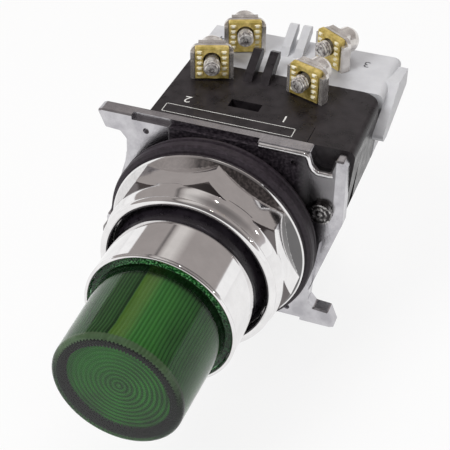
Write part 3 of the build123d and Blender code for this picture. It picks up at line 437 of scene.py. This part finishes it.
def nut_finish():
    """Chrome, with painted reflections on the flange's flare, brown and then dark at its right, and dark on the
    front chamfers.
    """
    material, tree, shader = new_material("nut_chrome")
    vector = coordinates(tree)
    angle, _, depth = polar(tree, vector)
    _, facing, _ = axes(tree, coordinates(tree, "Normal"))
    slope = span(tree, maths(tree, "ABSOLUTE", facing), *SLOPE)
    speckle = noise(tree, vector, 0.5 * MM, 3.0)
    patches = noise(tree, vector, 3 * MM, 3.0)
    plain = ramp(tree, patches, [(0.35, (0.8, 0.79, 0.79)), (0.65, (0.87, 0.86, 0.86))])
    # Painted reflection on the flare: brown, and dark towards its right
    flare = product(
        tree,
        change(tree, depth, FLARE_FRONT),
        change(tree, depth, FLARE_REAR),
        span(tree, angle, *FLARE_TURN, 0.25, 1.0),
        slope,
    )
    brown = ramp(tree, speckle, [(0.42, (0.06, 0.048, 0.046)), (0.6, (0.32, 0.28, 0.27))])
    painted_reflection = mixed(tree, span(tree, angle, *RIGHT_SIDE), brown, (0.03, 0.028, 0.03))
    colour = mixed(tree, product(tree, flare, 0.85), plain, painted_reflection)
    # Painted dark reflection on the front chamfers
    chamfer = product(tree, change(tree, depth, CHAMFER_REAR), change(tree, depth, CHAMFER_FRONT), slope)
    colour = mixed(tree, product(tree, chamfer, 0.88), colour, (0.06, 0.045, 0.045))
    tree.links.new(colour, shader.inputs["Base Color"])
    tree.links.new(between(tree, patches, 0.04, 0.1), shader.inputs["Roughness"])
    shader.inputs["Metallic"].default_value = 1.0
    bump(tree, shader, noise(tree, vector, 0.4 * MM), 0.0015 * MM)
    return material


# Where the sunken front's painted shade and reflection are absent and where they are full, on each side, and the
# same for its ledge and web
SUNK_BOTTOM = (6, 9)
SUNK_LEFT = (-10, -9.4)
SUNK_RIGHT = (18.5, 14.5)
LEDGE_TOP = (19.3, 19.2)
LEDGE_REAR = (6.8, 6.7)
WEB_RIGHT = (22.0, 21.8)
# The Y of a surface's normal, from not facing the front to facing it
FACING_FRONT = (-0.6, -0.8)


def cast_finish():
    """Cast zinc, mottled, with painted shade and a painted reflection of the gasket where the plate's front is
    sunken behind its rim: dark and speckled, and mid-grey towards the right ear.
    """
    material, tree, shader = new_material("cast_zinc")
    vector = coordinates(tree)
    patches = noise(tree, vector, 3.2 * MM, 3.0)
    speckle = noise(tree, vector, 0.5 * MM, 3.0)
    x, y, z = axes(tree, vector)
    _, facing, _ = axes(tree, coordinates(tree, "Normal"))
    ledge = product(tree, change(tree, z, LEDGE_TOP), change(tree, y, LEDGE_REAR))
    front = maths(tree, "MAXIMUM", span(tree, facing, *FACING_FRONT), ledge)
    front = product(tree, front, change(tree, z, SUNK_BOTTOM), change(tree, x, SUNK_LEFT))
    # Painted shade and reflection on the sunken front: mid-grey towards the right ear, speckled black left of it
    web_shade_and_reflection = product(tree, front, change(tree, x, WEB_RIGHT))
    sunk_shade_and_reflection = product(tree, front, change(tree, x, SUNK_RIGHT))
    bright = ramp(tree, patches, [(0.35, (0.46, 0.45, 0.475)), (0.65, (0.62, 0.61, 0.635))])
    grey = mixed(tree, product(tree, web_shade_and_reflection, 0.8), bright, (0.15, 0.145, 0.15))
    black = ramp(tree, speckle, [(0.42, (0.012, 0.009, 0.013)), (0.66, (0.06, 0.05, 0.06))])
    tree.links.new(mixed(tree, sunk_shade_and_reflection, grey, black), shader.inputs["Base Color"])
    tree.links.new(span(tree, sunk_shade_and_reflection, 0.0, 1.0, 0.24, 0.4), shader.inputs["Roughness"])
    tree.links.new(span(tree, sunk_shade_and_reflection, 0.0, 1.0, 1.0, 0.2), shader.inputs["Metallic"])
    bump(tree, shader, noise(tree, vector, 0.4 * MM, 5.0), 0.018 * MM)
    return material


lens_body = lens_body_finish()
nut_chrome = nut_finish()
OWN_FINISH = {"mounting_screws": ringed_steel()}
FINISH_OF_SLOT = {
    "cast_plate": cast_finish(),
    "chrome": chrome,
    "black_rubber": rubber,
    "green_lens": lens_clear,
    "black_plastic": black_plastic,
    "grey_plastic": grey_plastic,
    "white_plastic": white_plastic,
    "brass": brass,
    "nickel_steel": nickel,
    "spring_steel": spring_steel,
    "bulb_glass": bulb_glass,
}
slot_of_node = {entry["node"]: entry["material_slot"] for entry in frame["record"]["subparts"]}
for name, node in nodes.items():
    node.data.materials.clear()
    node.data.materials.append(OWN_FINISH.get(name) or FINISH_OF_SLOT[slot_of_node[name]])


# Helpers for pieces


def volume(mesh):
    """Six times the volume that the faces enclose, below zero if they face inwards."""
    total = 0.0
    middle = sum((vertex.co for vertex in mesh.vertices), Vector()) / len(mesh.vertices)
    for polygon in mesh.polygons:
        corners = [mesh.vertices[index].co - middle for index in polygon.vertices]
        for second, third in zip(corners[1:], corners[2:]):
            total += corners[0].dot(second.cross(third))
    return total


def add_piece(name, points, faces, material, body, smooth=True):
    """A mesh piece that rides on a body."""
    mesh = bpy.data.meshes.new(name)
    mesh.from_pydata(points, [], faces)
    mesh.validate()
    if volume(mesh) < 0:
        mesh.flip_normals()
    mesh.materials.append(material)
    for face in mesh.polygons:
        face.use_smooth = smooth
    piece = bpy.data.objects.new(name, mesh)
    bpy.context.scene.collection.objects.link(piece)
    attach(piece, body)
    return piece


def quads(start, rings, sides, around=True, closed=False):
    """Faces between rings of points that follow each other from start.

    With around, a ring's last point joins its first. With closed, the last ring joins the first.
    """
    faces = []
    for ring in range(rings if closed else rings - 1):
        low = start + ring * sides
        high = start + (ring + 1) % rings * sides
        for side in range(sides if around else sides - 1):
            after = (side + 1) % sides
            faces.append((low + side, low + after, high + after, high + side))
    return faces


def caps(start, rings, sides, flip=False):
    """The two faces that close the first and the last ring. Flip turns both the other way."""
    first = tuple(range(start, start + sides))
    last = tuple(range(start + (rings - 1) * sides, start + rings * sides))
    return [first[::-1], last] if flip else [first, last[::-1]]


def lathe(profile, sides, wobble=None):
    """Points and faces of a profile of (radius, y) turned about Y. The profile may close on itself."""
    points = []
    for radius, y in profile:
        for side in range(sides):
            angle = 2 * math.pi * side / sides
            reach = radius + (wobble(radius, y, side) if wobble else 0.0)
            points.append((reach * math.sin(angle) * MM, y * MM, reach * math.cos(angle) * MM))
    return points, quads(0, len(profile), sides)


def sharpen(piece, degrees=35):
    """Keeps edges sharper than this angle crisp under smooth shading."""
    limit = math.radians(degrees)
    mesh = piece.data
    normals = {}
    for polygon in mesh.polygons:
        for key in polygon.edge_keys:
            normals.setdefault(key, []).append(polygon.normal)
    for edge in mesh.edges:
        pair = normals.get(edge.key, [])
        if len(pair) == 2 and pair[0].angle(pair[1], 0.0) > limit:
            edge.use_edge_sharp = True


def arc(centre, radius, start, end, steps):
    """Points of an arc in the profile's plane, angles in degrees from outwards to the front."""
    found = []
    for step in range(steps + 1):
        angle = math.radians(start + (end - start) * step / steps)
        found.append((centre[0] + radius * math.cos(angle), centre[1] - radius * math.sin(angle)))
    return found


# Lens: a clear skin over a ribbed body

SKIN_SIDES = 160
BODY_SIDES = RIBS * 4
BODY_SHOULDER = -23.2
RIM_EDGE = 9.6
RIB_IN_RIM = 0.22
RIB_ON_SIDE = 0.1


def rib(radius, y, side):
    """Reach of the ribs on the body's side and on the wall round its front, and none on the front.

    A rib has four sides, of which two stand out and two sink in.
    """
    if radius <= RIM_START or y > BODY_SHOULDER:
        return 0.0
    reach = RIB_IN_RIM if radius < RIM_EDGE else RIB_ON_SIDE
    return reach if side % 4 in (1, 2) else -reach


skin = [
    (0.02, -20.7), (13.15, -20.7), (13.15, -23.0), (13.05, -23.2), (12.85, -23.3), (12.3, -23.3),
    (12.08, -23.4), (11.98, -23.65), (11.95, -24.1),
]
skin += arc((10.62, -40.2), 0.9, 0, 90, 8)
skin += [(10.0, -41.1), (0.02, -41.1)]
points, faces = lathe(skin, SKIN_SIDES)
lens_skin = add_piece("lens_skin", points, faces, lens_clear, "button")
sharpen(lens_skin)
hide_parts("lens")

core = [
    (8.0, -20.9), (12.9, -20.9), (12.9, -22.7), (11.7, -22.8), (10.5, -22.9), (10.45, -23.4), (10.2, -36.6),
    (10.75, -39.2), (10.85, -39.8), (10.75, -40.2), (10.45, RIM_FRONT), (9.5, RIM_FRONT), (9.42, -40.35),
    (9.36, -38.6),
]
reach = RIM_START
while reach > RING_PITCH / 2:
    core.append((reach, RINGS_FRONT))
    core += [(reach - RING_PITCH * share, RINGS_FRONT + RING_DEPTH) for share in (0.25, 0.75)]
    reach -= RING_PITCH
core.append((0.02, RINGS_FRONT))
points, faces = lathe(core, BODY_SIDES, rib)
add_piece("lens_body", points, faces, lens_body, "button")

# Rolled front edge of the bezel

LIP_RADIUS = 13.6
LIP_FRONT = -23.35
LIP_BEAD = 0.41
bezel_lip = []
for degrees in range(0, 361, 30):
    turn = math.radians(degrees)
    bezel_lip.append((LIP_RADIUS + LIP_BEAD * math.cos(turn), LIP_FRONT - LIP_BEAD * math.sin(turn)))
points, faces = lathe(bezel_lip, SKIN_SIDES)
add_piece("bezel_lip", points, faces, chrome, "button")

# Springs and boot, in place of the part's own

WIRE_SIDES = 8
STEPS_IN_TURN = 28


def helix(radius, wire, start, end, turns, x=0.0):
    """Points and faces of a round wire wound about Y."""
    steps = int(turns * STEPS_IN_TURN)
    points = []
    for step in range(steps + 1):
        share = step / steps
        angle = 2 * math.pi * turns * share
        y = start + wire / 2 + (end - start - wire) * share
        centre = Vector((x + radius * math.cos(angle), y, radius * math.sin(angle)))
        outward = Vector((math.cos(angle), 0, math.sin(angle)))
        for part in range(WIRE_SIDES):
            turn = 2 * math.pi * part / WIRE_SIDES
            place = centre + outward * (wire / 2 * math.cos(turn))
            place.y += wire / 2 * math.sin(turn)
            points.append(place * MM)
    return points, quads(0, steps + 1, WIRE_SIDES) + caps(0, steps + 1, WIRE_SIDES)


def squashed(piece, node):
    """The piece stands for a node, which it hides, and gets a mesh of its own."""
    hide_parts(node)
    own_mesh(piece)


for node, joint, radius, wire, turns, x in (
    ("return_spring", "button_press", 7.3, 0.8, 5, 0.0),
    ("no_contact_spring", "no_stroke", 2.3, 0.5, 4, -10.0),
    ("nc_contact_spring", "nc_stroke", 2.3, 0.5, 4, 10.0),
):
    low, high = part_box(node)
    front, rear = low[1] / MM, high[1] / MM
    points, faces = helix(radius, wire, front, rear, turns, x)
    piece = add_piece(f"{node}_wire", points, faces, spring_steel, "operator")
    squashed(piece, node)

BOOT_SIDES = 96
BOOT_REAR = -8.1
BOOT_FRONT = -13.4
boot = [
    (13.0, BOOT_REAR), (15.1, BOOT_REAR), (15.1, -9.1), (14.95, -9.22), (14.45, -9.6), (14.5, -9.95),
    (14.2, -10.3), (14.25, -10.75), (13.95, -11.1), (14.0, -11.6), (13.75, -12.0), (13.75, -12.6),
    (13.3, BOOT_FRONT), (12.25, BOOT_FRONT), (12.25, -12.75), (12.8, -12.45), (13.5, -9.8), (13.0, -9.1),
    (13.0, BOOT_REAR),
]
points, faces = lathe(boot, BOOT_SIDES)
piece = add_piece("boot_folds", points, faces, boot_rubber, "operator")
squashed(piece, "boot_seal")

# Mounting nut: octagon between a flange with a conical flare and a collar with a rolled lip

NUT_BORE = 15.05
NUT_APOTHEM = 17.1
NUT_CORNER = math.radians(8.3)
NUT_SIDES = 384
CORNER_REACH = NUT_APOTHEM / math.cos(math.pi / 8)

# Outlines of (y, radius), y falling: the turned body, and what limits the octagon's corners
TURNED = [
    (0.0, 18.7), (-0.25, 18.95), (-1.0, 18.95), (-1.15, 18.7), (-2.7, 17.0), (-6.9, 17.0), (-7.4, 17.3),
    (-8.6, 17.3),
]
ENVELOPE = [
    (0.0, CORNER_REACH), (-6.2, CORNER_REACH + 0.1), (-6.9, CORNER_REACH - 0.25), (-7.95, 17.2), (-8.6, 15.0),
]


def straight(points, y):
    """Radius at y on straight runs between (y, radius) points, y falling."""
    for (y0, r0), (y1, r1) in zip(points, points[1:]):
        if y1 <= y <= y0:
            return r0 + (r1 - r0) * (y - y0) / (y1 - y0)
    return points[-1][1]


def nut_angle(side):
    """Angle about Y of one of the nut's sides."""
    return NUT_CORNER + 2 * math.pi * side / NUT_SIDES


def nut_reach(y, angle):
    """Radius of the nut's outside at a depth and an angle."""
    off_corner = (angle - NUT_CORNER) % (math.pi / 4) - math.pi / 8
    flat = NUT_APOTHEM / math.cos(off_corner)
    return max(straight(TURNED, y), min(flat, straight(ENVELOPE, y)))


depths = [0.0, -0.12, -0.25, -0.6, -1.0, -1.15]
depths += [-1.15 - 0.1 * step for step in range(1, 17)]
depths += [-3.2, -4.2, -5.2, -5.9]
depths += [-6.0 - 0.07 * step for step in range(1, 29)]
depths += [-8.05, -8.2]
lip = [(17.28, -8.4), (17.1, -8.9), (16.8, -9.4), (16.55, -9.8), (16.42, -10.05), (16.45, -10.2)]
lip += arc((16.0, -10.85), 0.85, -40, 105, 14)
lip += [(15.5, -11.55), (15.3, -11.3), (15.25, -10.9), (15.25, -8.1), (NUT_BORE, -8.1), (NUT_BORE, 0.0)]
rings = [(y, [nut_reach(y, nut_angle(side)) for side in range(NUT_SIDES)]) for y in depths]
rings += [(y, [radius] * NUT_SIDES) for radius, y in lip]
points = []
for y, ring in rings:
    for side, radius in enumerate(ring):
        angle = nut_angle(side)
        points.append((radius * math.sin(angle) * MM, y * MM, radius * math.cos(angle) * MM))
faces = quads(0, len(rings), NUT_SIDES, closed=True)
nut = add_piece("nut_body", points, faces, nut_chrome, "operator")
sharpen(nut, degrees=22)
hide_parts("mounting_nut")

# Rounded rim along the plate's top edge and round its notch, and the same a half turn away

PLATE_FRONT = 5.4
BEAD = 0.5
BEAD_SIDES = 12
RIM_PATH = [
    (7.65, 19.45), (16.0, 19.45), (16.5, 19.3), (16.85, 18.7), (17.15, 17.6), (17.7, 16.7), (18.6, 16.05),
    (20.9, 16.05), (21.5, 16.3),
]
points, faces = [], []
for side in (1, -1):
    start = len(points)
    for place, (x, z) in enumerate(RIM_PATH):
        before = Vector(RIM_PATH[max(place - 1, 0)])
        after = Vector(RIM_PATH[min(place + 1, len(RIM_PATH) - 1)])
        along = (after - before).normalized()
        for step in range(BEAD_SIDES):
            part = 2 * math.pi * step / BEAD_SIDES
            out = BEAD * math.cos(part)
            point = Vector((x - along.y * out, 0, z + along.x * out)) * side
            point.y = PLATE_FRONT + BEAD * math.sin(part)
            points.append(point * MM)
    faces += quads(start, len(RIM_PATH), BEAD_SIDES)
    faces += caps(start, len(RIM_PATH), BEAD_SIDES, flip=True)
plate_rim = add_piece("plate_rim", points, faces, cast_rim, "operator")
sharpen(plate_rim, degrees=50)

# Terminal screws: the part's own, with slimmer, threaded ends that lean down a little

LIGHT_BACK = 28.3
CONTACT_BACK = 43.0
BLOCK_TOP = 20.0
SCREW_AXIS = 24.2
HEAD_SEAT = -3.2
SCREW_TIP = 2.2
SCREW_RADIUS = 1.65
SLIM_RADIUS = 1.38
SCREW_MARGIN = 0.05
# x, y, turn in degrees, 1 above or -1 below, and how far the screw's tip leans down
TERMINALS = (
    (-7.7, LIGHT_BACK - 6.0, 20.0, 1, 0.8), (10.6, LIGHT_BACK - 6.5, -20.0, 1, 0.5),
    (-5.2, CONTACT_BACK - 8.9, 22.0, 1, 0.2), (11.4, CONTACT_BACK - 7.8, -34.0, 1, 0.2),
    (-5.2, CONTACT_BACK - 8.9, 22.0, -1, 0.2), (11.4, CONTACT_BACK - 7.8, -34.0, -1, 0.2),
)


def terminal_axes(x, y, turn_degrees, side):
    """A terminal's middle on the screw axis, its front, its across and its up."""
    angle = math.radians(turn_degrees)
    front = Vector((math.sin(angle) * side, -math.cos(angle), 0))
    across = Vector((math.cos(angle), math.sin(angle) * side, 0))
    return Vector((x * side, y, SCREW_AXIS * side)), front, across, Vector((0, 0, side))


def lean(ahead, drop):
    """How far a screw's end has leant down, this far ahead of the terminal's middle."""
    return drop * (ahead - HEAD_SEAT) / (SCREW_TIP - HEAD_SEAT)


screws = nodes["terminal_screws"]
mesh = screws.data.copy()
share = SLIM_RADIUS / SCREW_RADIUS
for vertex in mesh.vertices:
    place = screws.matrix_world @ vertex.co / MM
    for x, y, turn_degrees, side, drop in TERMINALS:
        middle, front, across, up = terminal_axes(x, y, turn_degrees, side)
        ahead, beside, above = ((place - middle).dot(axis) for axis in (front, across, up))
        if ahead > HEAD_SEAT - SCREW_MARGIN and math.hypot(beside, above) < SCREW_RADIUS + SCREW_MARGIN:
            height = above * share - lean(ahead, drop)
            place = middle + front * ahead + across * (beside * share) + up * height
            break
    vertex.co = place * MM
slim_screws = bpy.data.objects.new("slim_screws", mesh)
bpy.context.scene.collection.objects.link(slim_screws)
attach(slim_screws, "operator")
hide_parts("terminal_screws")

THREAD_PITCH = 0.6
THREAD_TURNS = 3
THREAD_SIDES = 40
CREST = 1.56
VALLEY = 1.39
thread = [(VALLEY, 0.2)]
# 1 for each band of the thread that gets the painted shade
shades = []
for turn in range(THREAD_TURNS):
    start = thread[-1][1]
    thread += [(VALLEY, start + 0.14), (CREST, start + 0.26), (CREST, start + 0.46)]
    thread.append((VALLEY, start + THREAD_PITCH))
    shades += [1, 0, 0, 0]
thread += [(1.36, 2.12), (1.2, 2.32), (0.5, 2.36), (0.35, 2.25), (0.02, 2.25)]
shades += [1, 0, 0, 1, 0]
points, faces = [], []
for x, y, turn_degrees, side, drop in TERMINALS:
    middle, front, across, up = terminal_axes(x, y, turn_degrees, side)
    start = len(points)
    for radius, reach in thread:
        for step in range(THREAD_SIDES):
            part = 2 * math.pi * step / THREAD_SIDES
            place = middle + front * reach - up * lean(reach, drop)
            place += across * (radius * math.cos(part)) + up * (radius * math.sin(part))
            points.append(place * MM)
    faces += quads(start, len(thread), THREAD_SIDES)
threads = add_piece("terminal_threads", points, faces, thread_bright, "operator")
sharpen(threads, degrees=25)
threads.data.materials.append(thread_shade)
for polygon in threads.data.polygons:
    polygon.material_index = shades[polygon.index // THREAD_SIDES % len(shades)]

# Rounded ribs on the clamp plates, in two columns of five, in paler brass as a painted highlight

CLAMP_BOTTOM = 0.3
CLAMP_HALF_HEIGHT = 3.3
RIB_COLUMN = 2.35
RIB_PITCH = 1.15
RIB_HALF_LENGTH = 0.64
RIB_HALF_HEIGHT = 0.36
RIB_RISE = 0.36
RIB_SINK = 0.02
RIB_POINTS = 9
# Sections along a rib: place as a share of its half length, and share of its full size
RIB_STATIONS = ((-1.0, 0.35), (-0.8, 0.8), (-0.4, 1.0), (0.4, 1.0), (0.8, 0.8), (1.0, 0.35))
points, faces = [], []
for x, y, turn_degrees, side, _ in TERMINALS:
    middle, front, across, up = terminal_axes(x, y, turn_degrees, side)
    foot = middle + up * (BLOCK_TOP + CLAMP_BOTTOM + CLAMP_HALF_HEIGHT - SCREW_AXIS)
    for column in (-RIB_COLUMN, RIB_COLUMN):
        for row in range(-2, 3):
            centre = foot + across * column + up * (row * RIB_PITCH)
            start = len(points)
            for along, share in RIB_STATIONS:
                for step in range(RIB_POINTS):
                    part = math.pi * step / (RIB_POINTS - 1)
                    place = centre + across * (along * RIB_HALF_LENGTH)
                    place += up * (math.cos(part) * RIB_HALF_HEIGHT * share)
                    place += front * (math.sin(part) * RIB_RISE * share - RIB_SINK)
                    points.append(place * MM)
            faces += quads(start, len(RIB_STATIONS), RIB_POINTS, around=False)
            faces += caps(start, len(RIB_STATIONS), RIB_POINTS)
add_piece("clamp_ribs", points, faces, brass_painted_highlight, "operator")

# Label frame on the black roof, a thin outline left bare, and plain numbers at the terminals

print_white = finish("print_white", (0.74, 0.74, 0.72), (0.6, 0.6, 0.58), (0.4, 0.6), 0.2 * MM, 0.002 * MM)
print_dark = finish("print_dark", (0.12, 0.12, 0.13), (0.07, 0.07, 0.08), (0.4, 0.6), 0.2 * MM, 0.002 * MM)
PRINT_LIFT = 0.015
PRINT_HEIGHT = BLOCK_TOP + PRINT_LIFT
LINE = 0.14
left, right, front_edge, rear_edge = -12.6, 12.5, 8.9, 11.7
points, faces = [], []
for x0, x1, y0, y1 in (
    (left, right, front_edge, front_edge + LINE), (left, right, rear_edge - LINE, rear_edge),
    (left, left + LINE, front_edge, rear_edge), (right - LINE, right, front_edge, rear_edge),
):
    faces.append(tuple(range(len(points), len(points) + 4)))
    points += [(x * MM, y * MM, PRINT_HEIGHT * MM) for x, y in ((x0, y0), (x1, y0), (x1, y1), (x0, y1))]
add_piece("label_frame", points, faces, print_white, "operator", smooth=False)

MARK_SIZE = 3.0
for number, x, y, ink in (
    (1, 9.6, 14.2, print_white),
    (2, -9.4, 14.2, print_white),
    (3, 18.6, 38.4, print_dark),
    (4, -11.6, 38.0, print_dark),
):
    text = bpy.data.curves.new(f"mark_{number}", "FONT")
    text.body = str(number)
    text.size = MARK_SIZE * MM
    text.align_x = "CENTER"
    text.align_y = "CENTER"
    text.materials.append(ink)
    mark = bpy.data.objects.new(f"mark_{number}", text)
    bpy.context.scene.collection.objects.link(mark)
    mark.location = (x * MM, y * MM, PRINT_HEIGHT * MM)
    mark.rotation_euler = (0, 0, math.pi)
    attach(mark, "operator")

# Floor: white to the eye, to metal and through glass, and it keeps the object's shadow

FLOOR_GAP = 0.5 * MM
FLOOR_HALF = 3.0
FLOOR_SHARE = 0.86
floor_height = cad_box[0][2] - FLOOR_GAP
corners = ((-1, -1), (1, -1), (1, 1), (-1, 1))
floor_mesh = bpy.data.meshes.new("floor")
floor_mesh.from_pydata([(x * FLOOR_HALF, y * FLOOR_HALF, floor_height) for x, y in corners], [], [(0, 1, 2, 3)])
floor = bpy.data.objects.new("floor", floor_mesh)
bpy.context.scene.collection.objects.link(floor)
floor_material = bpy.data.materials.new("floor_white")
tree = empty_tree(floor_material)
output = tree.nodes.new("ShaderNodeOutputMaterial")
diffuse = tree.nodes.new("ShaderNodeBsdfDiffuse")
diffuse.inputs["Color"].default_value = (0.8, 0.8, 0.8, 1)
white = tree.nodes.new("ShaderNodeEmission")
white.inputs["Color"].default_value = (1, 1, 1, 1)
path = tree.nodes.new("ShaderNodeLightPath")
seen = maths(tree, "MAXIMUM", path.outputs["Is Camera Ray"], path.outputs["Is Glossy Ray"])
seen = maths(tree, "MAXIMUM", seen, path.outputs["Is Transmission Ray"])
mixer = tree.nodes.new("ShaderNodeMixShader")
tree.links.new(product(tree, seen, FLOOR_SHARE), mixer.inputs["Fac"])
tree.links.new(diffuse.outputs["BSDF"], mixer.inputs[1])
tree.links.new(white.outputs["Emission"], mixer.inputs[2])
tree.links.new(mixer.outputs["Shader"], output.inputs["Surface"])
floor_mesh.materials.append(floor_material)

# World: one room for every ray, white round the horizon, with white and taupe walls above

WHITE_WALL = (0.92, 0.9, 0.97)
TAUPE_WALL = (0.36, 0.33, 0.32)
PALE_PANEL = (0.66, 0.63, 0.61)
DARK_GAP = (0.12, 0.11, 0.11)
HORIZON = (1.0, 1.0, 1.0)
HORIZON_TOP = math.sin(math.radians(12))
HORIZON_FADE = math.sin(math.radians(14))
# Direction of the room's dark front, where the photographer stood, and where its dark ends and is full
DARK_FRONT = (0.27, -0.734, 0.624)
DARK_END = math.cos(math.radians(58))
DARK_FULL = math.cos(math.radians(18))
DARK_SHARE = 0.9
# Walls once round Y from below by the left, up and the right, as shares of a turn
WALLS = [
    (0.0, WHITE_WALL), (0.185, WHITE_WALL), (0.25, TAUPE_WALL), (0.41, TAUPE_WALL), (0.421, DARK_GAP),
    (0.428, TAUPE_WALL), (0.447, PALE_PANEL), (0.475, PALE_PANEL), (0.515, TAUPE_WALL), (0.69, TAUPE_WALL),
    (0.77, WHITE_WALL), (1.0, WHITE_WALL),
]
world = bpy.data.worlds.new("studio")
bpy.context.scene.world = world
tree = empty_tree(world)
output = tree.nodes.new("ShaderNodeOutputWorld")
room = tree.nodes.new("ShaderNodeBackground")
room.inputs["Strength"].default_value = 1.0
direction = coordinates(tree, "Generated")
x, _, z = axes(tree, direction)
around = span(tree, maths(tree, "ARCTAN2", x, z), -math.pi, math.pi, smooth=False)
toward = tree.nodes.new("ShaderNodeVectorMath")
toward.operation = "DOT_PRODUCT"
tree.links.new(direction, toward.inputs[0])
toward.inputs[1].default_value = DARK_FRONT
dark = span(tree, toward.outputs["Value"], DARK_END, DARK_FULL, 0.0, DARK_SHARE)
sky = mixed(tree, dark, ramp(tree, around, WALLS), DARK_GAP)
horizon = span(tree, z, HORIZON_TOP, HORIZON_FADE, 1.0, 0.0)
tree.links.new(mixed(tree, horizon, sky, HORIZON), room.inputs["Color"])
tree.links.new(room.outputs["Background"], output.inputs["Surface"])

# Lights: two large softboxes above, left in front and behind, and two small ones that sparkle on metal


def softbox(name, place, size, power, hidden=False):
    """A rectangular area light that faces the object. A hidden one leaves no patch on metal."""
    light = bpy.data.lights.new(name, "AREA")
    light.shape = "RECTANGLE"
    light.size, light.size_y = size
    light.energy = power
    lamp = bpy.data.objects.new(name, light)
    bpy.context.scene.collection.objects.link(lamp)
    lamp.location = place
    lamp.visible_glossy = not hidden
    lamp.rotation_euler = (-Vector(place)).to_track_quat("-Z", "Y").to_euler()


softbox("key_light", (-0.25, -0.35, 0.45), (0.25, 0.25), 2.2, hidden=True)
softbox("top_light", (0.0, 0.3, 0.6), (0.4, 0.3), 1.6, hidden=True)
softbox("sparkle_top", (0.1, -0.02, 0.44), (0.012, 0.012), 0.08)
softbox("sparkle_side", (0.4, -0.003, 0.206), (0.012, 0.012), 0.08)

# Camera at the photograph's place

CAMERA_PLACE = Vector((0.05771, -0.14753, 0.12955))
CAMERA_AIM = Vector((-0.27046, 0.73354, -0.62351))
CAMERA_ROLL = math.radians(0.28)
camera_data = bpy.data.cameras.new("camera")
camera_data.sensor_width = 36.0
camera_data.lens = 88.0
camera_data.clip_start = 0.01
camera = bpy.data.objects.new("camera", camera_data)
bpy.context.scene.collection.objects.link(camera)
turn = CAMERA_AIM.to_track_quat("-Z", "Y").to_matrix().to_4x4()
camera.matrix_world = Matrix.Translation(CAMERA_PLACE) @ turn @ Matrix.Rotation(CAMERA_ROLL, 4, "Z")
bpy.context.scene.camera = camera

bpy.context.scene.view_settings.view_transform = "Standard"
